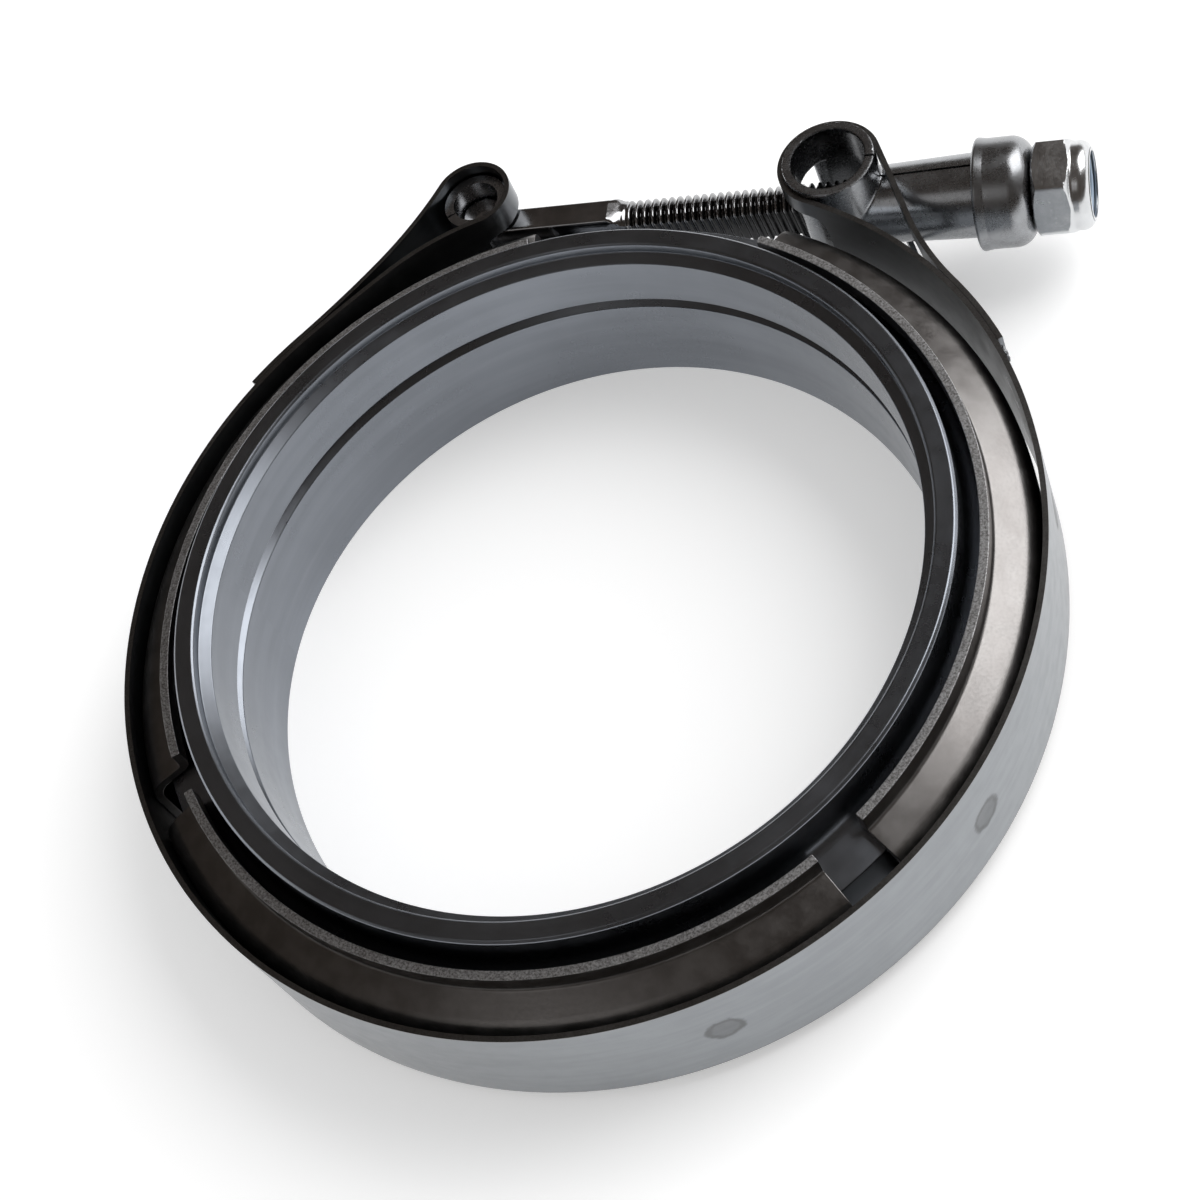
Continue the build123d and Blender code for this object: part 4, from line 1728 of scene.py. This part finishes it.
@dataclass(frozen=True)
class MetalFinish:
    """One metal finish: its colours, gloss and the strength of its marks."""

    colour: tuple[float, float, float]
    dark: tuple[float, float, float]
    roughness: float
    rough_change: float
    blotch_mm: float
    bump: float
    pattern: Pattern
    lines_per_mm: float
    length: float = 0.02
    edge_reach: float = 0.0
    edge_grain: float = 0.0
    # Share of the colour left on faces that look towards the ring's axis: painted shade.
    inside: float = 1.0
    # Painted shade close to a line, or None.
    hollow_shade: PaintedHollowShade | None = None
    welds: WeldMarks | None = None

    def make(self, name: str, groups: dict[str, bpy.types.NodeTree]) -> bpy.types.Material:
        """Builds the material.

        Args:
            name: Name of the material.
            groups: The shared node groups by name.

        Returns:
            The material.
        """
        material, sheet, surface = new_material(name)
        shader = sheet.add("BsdfPrincipled")
        sheet.put(surface, shader.outputs[0])
        shader.inputs["Metallic"].default_value = 1.0
        smudges = place_group(sheet, groups["smudges"], {"Size": self.blotch_mm})
        height, tone = self.marks(sheet, groups)
        blotch = sheet.span(smudges["Large"], *BLOTCH_SPAN)
        speck = sheet.span(smudges["Small"], *SPECK_SPAN)
        shade = sheet.math("ADD", sheet.math("MULTIPLY", blotch, BLOTCH_SHARE),
                           sheet.math("MULTIPLY", tone, 1.0 - BLOTCH_SHARE))
        base = sheet.mix(shade, self.dark, self.colour)
        rough: object = self.roughness
        for mark in (speck, blotch):
            rough = sheet.math("ADD", rough, sheet.math(
                "MULTIPLY", sheet.math("SUBTRACT", mark, 0.5), self.rough_change))
        if self.edge_reach:
            edge = place_group(sheet, groups["sheared_edge"], {"Reach": self.edge_reach})
            mask, burrs = edge["Mask"], edge["Grain"]
            grain = sheet.math("MULTIPLY", sheet.span(burrs, *TONE_SPAN), self.edge_grain)
            base = sheet.mix(mask, base, sheet.mix(grain, EDGE_DARK, EDGE_BRIGHT))
            duller = sheet.math("MULTIPLY", mask, EDGE_DULLER * self.edge_grain)
            rough = sheet.math("ADD", rough, duller)
            raised = sheet.math("MULTIPLY", burrs, EDGE_HEIGHT * self.edge_grain)
            height = sheet.math("ADD", height, sheet.math("MULTIPLY", mask, raised))
        # Painted shade in hollows: the thread's valleys and the barrel's bore.
        if self.hollow_shade:
            base = self.darker(sheet, base, self.hollow_shade.tone, self.hollow_shade.keep(sheet))
        # Painted shade on faces that look towards the ring's axis.
        if self.inside < 1.0:
            base = self.darker(sheet, base, self.inside, self.outside(sheet))
        if self.welds:
            base, rough = self.welds.paint(sheet, base, rough)
        bump = sheet.add("Bump")
        sheet.feed(bump, Strength=self.bump, Distance=BUMP_DISTANCE, Height=height)
        sheet.feed(shader, Base_Color=base, Roughness=rough, Normal=bump.outputs[0])
        return material

    def darker(self, sheet: NodeSheet, base: object, tone: float,
               keep: object) -> bpy.types.NodeSocket:
        """Paints shade: darkens the colour to a share of itself where the mask is 0.

        Args:
            sheet: The material's nodes.
            base: The colour so far.
            tone: Share of the colour that is left.
            keep: Mask that is 1 where the colour stays.

        Returns:
            The colour.
        """
        node = sheet.vector("SCALE", base)
        node.inputs["Scale"].default_value = tone
        return sheet.mix(keep, node.outputs[0], base)

    def outside(self, sheet: NodeSheet) -> bpy.types.NodeSocket:
        """Mask of the faces that look away from the ring's axis; the faces that look towards it
        get painted shade.

        It is a smooth step of normal . (x, y, 0) / length of (x, y, 0).

        Args:
            sheet: The material's nodes.

        Returns:
            The mask.
        """
        coordinates = sheet.add("TexCoord").outputs
        level = sheet.vector("MULTIPLY", coordinates["Object"], (1, 1, 0))
        unit = sheet.vector("NORMALIZE", level.outputs[0])
        turn = sheet.vector("DOT_PRODUCT", coordinates["Normal"], unit.outputs[0])
        return sheet.span(turn.outputs["Value"], *INWARD_SHADE_SPAN)

    def marks(self, sheet: NodeSheet,
              groups: dict[str, bpy.types.NodeTree]) -> tuple[object, object]:
        """Height and tone of the finish's own marks.

        Args:
            sheet: The material's nodes.
            groups: The shared node groups.

        Returns:
            The height and the tone sockets.
        """
        if self.pattern is Pattern.SPECKLED:
            place = sheet.place()
            height = sheet.noise(place, self.lines_per_mm / MM, 2.0, 0.6)
            tone = sheet.noise(place, 500.0)
        elif self.pattern is Pattern.TURNED:
            values = {"Rings per mm": self.lines_per_mm}
            height, tone = place_group(sheet, groups["turned_marks"], values)
        else:
            values = {"Lines per mm": self.lines_per_mm, "Length": self.length}
            height, tone = place_group(sheet, groups["rolling_grain"], values)
        return height, sheet.span(tone, *TONE_SPAN)


@dataclass(frozen=True)
class PlasticFinish:
    """The insert's moulded plastic, a little darker and glossier in blotches."""

    colour: tuple[float, float, float]
    roughness: float
    rough_change: float = 0.08
    dark_share: float = 0.8
    blotch_mm: float = 3.0

    def make(self, name: str, groups: dict[str, bpy.types.NodeTree]) -> bpy.types.Material:
        """Builds the material.

        Args:
            name: Name of the material.
            groups: The shared node groups by name.

        Returns:
            The material.
        """
        material, sheet, surface = new_material(name)
        shader = sheet.add("BsdfPrincipled")
        sheet.put(surface, shader.outputs[0])
        smudges = place_group(sheet, groups["smudges"], {"Size": self.blotch_mm})
        darker = tuple(self.dark_share * value for value in self.colour)
        rough = sheet.span(smudges["Small"], *TONE_SPAN, self.roughness - self.rough_change,
                           self.roughness + self.rough_change)
        sheet.feed(shader, Base_Color=sheet.mix(smudges["Large"], darker, self.colour),
                   Roughness=rough)
        return material


FINISHES: dict[Finish, MetalFinish | PlasticFinish] = {
    Finish.TURNED: MetalFinish((0.26, 0.278, 0.31), (0.205, 0.22, 0.245), 0.3, 0.04, 22.0, 0.2,
                               Pattern.TURNED, 5.0),
    Finish.RETAINER: MetalFinish((0.27, 0.26, 0.255), (0.2, 0.19, 0.185), 0.34, 0.06, 3.0, 0.4,
                                 Pattern.ROLLED, 4.0, 0.05, 0.0123, 1.0),
    # The strap's faces towards the ring's axis keep 0.4 of their colour: painted shade.
    Finish.STRAP: MetalFinish((0.31, 0.327, 0.345), (0.25, 0.263, 0.28), 0.32, 0.05, 22.0, 0.1,
                              Pattern.ROLLED, 7.0, 0.02, 0.0095, 0.15, inside=0.4,
                              welds=WeldMarks()),
    # Painted shade on the saddle barrel's inner wall.
    Finish.ROLLED: MetalFinish((0.375, 0.385, 0.4), (0.325, 0.332, 0.345), 0.27, 0.05, 4.0,
                               0.18, Pattern.ROLLED, 3.0, 0.3, hollow_shade=BARREL_BORE_SHADE),
    # Painted shade in the thread's valleys.
    Finish.BOLT: MetalFinish((0.42, 0.42, 0.43), (0.3, 0.3, 0.305), 0.16, 0.08, 4.0, 0.2,
                             Pattern.ROLLED, 5.0, 0.2, hollow_shade=THREAD_VALLEY_SHADE),
    Finish.COLLAR: MetalFinish((0.37, 0.38, 0.395), (0.285, 0.29, 0.3), 0.3, 0.06, 2.5, 0.5,
                               Pattern.SPECKLED, 3.4),
    Finish.NUT: MetalFinish((0.7, 0.71, 0.72), (0.6, 0.61, 0.62), 0.23, 0.05, 5.0, 0.1,
                            Pattern.ROLLED, 4.0, 0.3),
    Finish.INSERT: PlasticFinish((0.4, 0.5, 0.62), 0.4),
}


@dataclass
class Piece:
    """A finished piece with what it stands for."""

    body: bpy.types.Object
    node: str | None
    rides: str
    slot: str
    finish: Finish


RETAINER_ARCS = (("right_retainer", -37.2, 106.2), ("lower_retainer", -143.7, 99.3),
                 ("left_retainer", 105.0, 105.2))


def build_pieces() -> list[Piece]:
    """Builds every piece of the flanges and the clamp.

    Returns:
        The pieces in order.
    """
    return [
        Piece(FrontFlange().build(), "front_flange", "front_flange", "flange_steel",
              Finish.TURNED),
        Piece(RearFlange().build(), "rear_flange", "rear_flange", "flange_steel", Finish.TURNED),
        *(Piece(Retainer(name, start, sweep).build(), name, "clamp", "retainer_sheet",
                Finish.RETAINER) for name, start, sweep in RETAINER_ARCS),
        Piece(Strap().build(), "band_strap", "clamp", "strap_sheet", Finish.STRAP),
        Piece(WeldBead().build(), None, "clamp", "strap_sheet", Finish.COLLAR),
        Piece(Trunnion().build(), "bolt_trunnion", "clamp", "rolled_sheet", Finish.ROLLED),
        Piece(Bolt().build(), "t_bolt", "clamp", "bolt_steel", Finish.BOLT),
        Piece(Saddle().build(), "saddle", "clamp", "rolled_sheet", Finish.ROLLED),
        Piece(Collar().build(), "sleeve_collar", "clamp", "collar_sheet", Finish.COLLAR),
        Piece(LockNut().build(), "lock_nut", "lock_nut", "nut_plating", Finish.NUT),
        Piece(NutInsert().build(), "nut_insert", "nut_insert", "insert_plastic", Finish.INSERT),
    ]


def dress(pieces: list[Piece]) -> None:
    """Gives each piece its material and body, and reports it.

    Args:
        pieces: The pieces.
    """
    groups = {
        "turned_marks": turned_marks_group(),
        "smudges": smudge_group(),
        "rolling_grain": grain_group(),
        "sheared_edge": sheared_group(),
    }
    materials = {finish: made.make(finish.value, groups) for finish, made in FINISHES.items()}
    for piece in pieces:
        piece.body.data.materials.clear()
        piece.body.data.materials.append(materials[piece.finish])
        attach(piece.body, piece.rides)
        if piece.node:
            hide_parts(piece.node)
        LOG.info("%s: %d faces", piece.body.name, len(piece.body.data.polygons))


@dataclass(frozen=True)
class Lamp:
    """Soft rectangular lamp: its direction in degrees, size in metres and power in watts."""

    name: str
    azimuth: float
    elevation: float
    size: tuple[float, float]
    power: float
    distance: float = 1.7

    def build(self) -> None:
        """Makes the lamp, pointed at the ring."""
        data = bpy.data.lights.new(self.name, "AREA")
        data.shape = "RECTANGLE"
        data.size, data.size_y = self.size
        data.energy = self.power
        lamp = bpy.data.objects.new(self.name, data)
        across, up = heading(self.azimuth), math.radians(self.elevation)
        place = Vector((across[0] * math.cos(up), across[1] * math.cos(up), math.sin(up)))
        lamp.location = place * self.distance
        lamp.rotation_mode = "QUATERNION"
        lamp.rotation_quaternion = (-place).to_track_quat("-Z", "Y")
        bpy.context.scene.collection.objects.link(lamp)


@dataclass
class Studio:
    """Floor, lamps, white surroundings and the camera."""

    floor_size: float = 8.0
    floor_colour: tuple[float, float, float] = (0.9, 0.9, 0.9)
    floor_glow: float = 0.3
    floor_fade: tuple[float, float] = (0.4, 2.0)
    ambient: float = 0.55
    lamps: tuple[Lamp, ...] = (Lamp("window", 45.0, 40.0, (1.2, 1.7), 23.0),
                               Lamp("fill", 250.0, 52.0, (0.7, 0.7), 0.7))
    hood_radius: float = 2.4
    hood_low: float = 6.0
    hood_steps: tuple[int, int] = (48, 20)
    hood_colour: tuple[float, float, float] = (0.1, 0.085, 0.075)
    camera_place: tuple[float, float, float] = (0.1125, -0.1453, 0.2754)
    camera_turns: tuple[float, float, float] = (36.85, 35.04, -31.55)
    lens: float = 70.7
    sensor: float = 36.0

    def build(self) -> None:
        """Makes the floor, the surroundings, the lamps and the camera."""
        self.floor()
        self.world()
        for lamp in self.lamps:
            lamp.build()
        self.hood()
        self.camera()

    def floor(self) -> None:
        """Pale floor with the object's soft shadow, which camera and mirror rays see white."""
        half = self.floor_size / 2
        surface = Surface()
        corners = np.array([[(-half, -half, 0.0), (half, -half, 0.0)],
                            [(-half, half, 0.0), (half, half, 0.0)]]) / MM
        surface.add_grid(corners, flip=True)
        body = surface.build("floor")
        body.data.materials.append(self.paint("floor_paint", self.floor_colour, self.floor_glow))

    def seen(self, sheet: NodeSheet) -> bpy.types.NodeSocket:
        """1 for camera, mirror and transmission rays, and 0 for all others.

        Args:
            sheet: The nodes to add to.

        Returns:
            The mask.
        """
        path = sheet.add("LightPath")
        return sheet.math("MAXIMUM", path.outputs["Is Camera Ray"], sheet.math(
            "MAXIMUM", path.outputs["Is Glossy Ray"], path.outputs["Is Transmission Ray"]))

    def paint(self, name: str, colour: tuple[float, float, float],
              glow: float = 0.0) -> bpy.types.Material:
        """Matte paint, with a glow that only camera, mirror and transmission rays see.

        A glow rises with the distance from the ring until the paint is as white as the
        surroundings, so no horizon shows.

        Args:
            name: Name of the material.
            colour: Its colour.
            glow: Strength of the glow near the ring, or 0 for none at all.

        Returns:
            The material.
        """
        material, sheet, socket = new_material(name)
        coat = sheet.add("BsdfDiffuse")
        coat.inputs["Color"].default_value = (*colour, 1.0)
        if not glow:
            sheet.put(socket, coat.outputs[0])
            return material
        light = sheet.add("Emission")
        away = sheet.vector("LENGTH", sheet.place())
        strength = sheet.span(away.outputs["Value"], *self.floor_fade, glow, 1.0)
        sheet.feed(light, Strength=sheet.math("MULTIPLY", self.seen(sheet), strength))
        both = sheet.add("AddShader")
        sheet.put(both.inputs[0], coat.outputs[0])
        sheet.put(both.inputs[1], light.outputs[0])
        sheet.put(socket, both.outputs[0])
        return material

    def world(self) -> None:
        """White surroundings for camera and mirror rays, dimmer for the light that they give."""
        world = bpy.data.worlds.new("white_surroundings")
        bpy.context.scene.world = world
        world.use_nodes = True
        sheet = NodeSheet(world.node_tree)
        output = sheet.add("OutputWorld")
        light = sheet.add("Background")
        sheet.feed(light, Color=(1.0, 1.0, 1.0, 1.0), Strength=sheet.math("ADD", sheet.math(
            "MULTIPLY", self.seen(sheet), 1.0 - self.ambient), self.ambient))
        sheet.put(output.inputs["Surface"], light.outputs[0])

    def hood(self) -> None:
        """Dark cloth dome behind the lamps, which only mirror rays see.

        It is r (cos a cos e, sin a cos e, sin e) of the angles a and e.
        """
        azimuth = np.radians(full_turn(self.hood_steps[0]))[:, None]
        elevation = np.radians(np.linspace(self.hood_low, 90.0, self.hood_steps[1]))[None]
        radius = self.hood_radius / MM
        points = np.stack([radius * np.cos(azimuth) * np.cos(elevation),
                           radius * np.sin(azimuth) * np.cos(elevation),
                           np.broadcast_to(radius * np.sin(elevation), self.hood_steps)], -1)
        surface = Surface()
        surface.add_grid(points, wrap_rows=True)
        body = surface.build("hood")
        body.data.materials.append(self.paint("hood_cloth", self.hood_colour))
        body.visible_camera = False
        body.visible_diffuse = False
        body.visible_shadow = False

    def camera(self) -> None:
        """Camera at the photograph's viewing angle."""
        data = bpy.data.cameras.new("camera")
        data.sensor_width = self.sensor
        data.lens = self.lens
        data.clip_start = 0.01
        camera = bpy.data.objects.new("camera", data)
        turn = Matrix.Identity(4)
        for angle, axis in zip(self.camera_turns, "ZXZ"):
            turn = turn @ Matrix.Rotation(math.radians(angle), 4, axis)
        camera.matrix_world = Matrix.Translation(self.camera_place) @ turn
        bpy.context.scene.collection.objects.link(camera)
        bpy.context.scene.camera = camera


def main() -> None:
    """Builds the pieces and the studio."""
    logging.basicConfig(level=logging.INFO, format="%(message)s")
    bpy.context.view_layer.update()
    dress(build_pieces())
    Studio().build()
    bpy.context.scene.view_settings.view_transform = "Standard"
    bpy.context.view_layer.update()


if __name__ == "__main__":
    main()
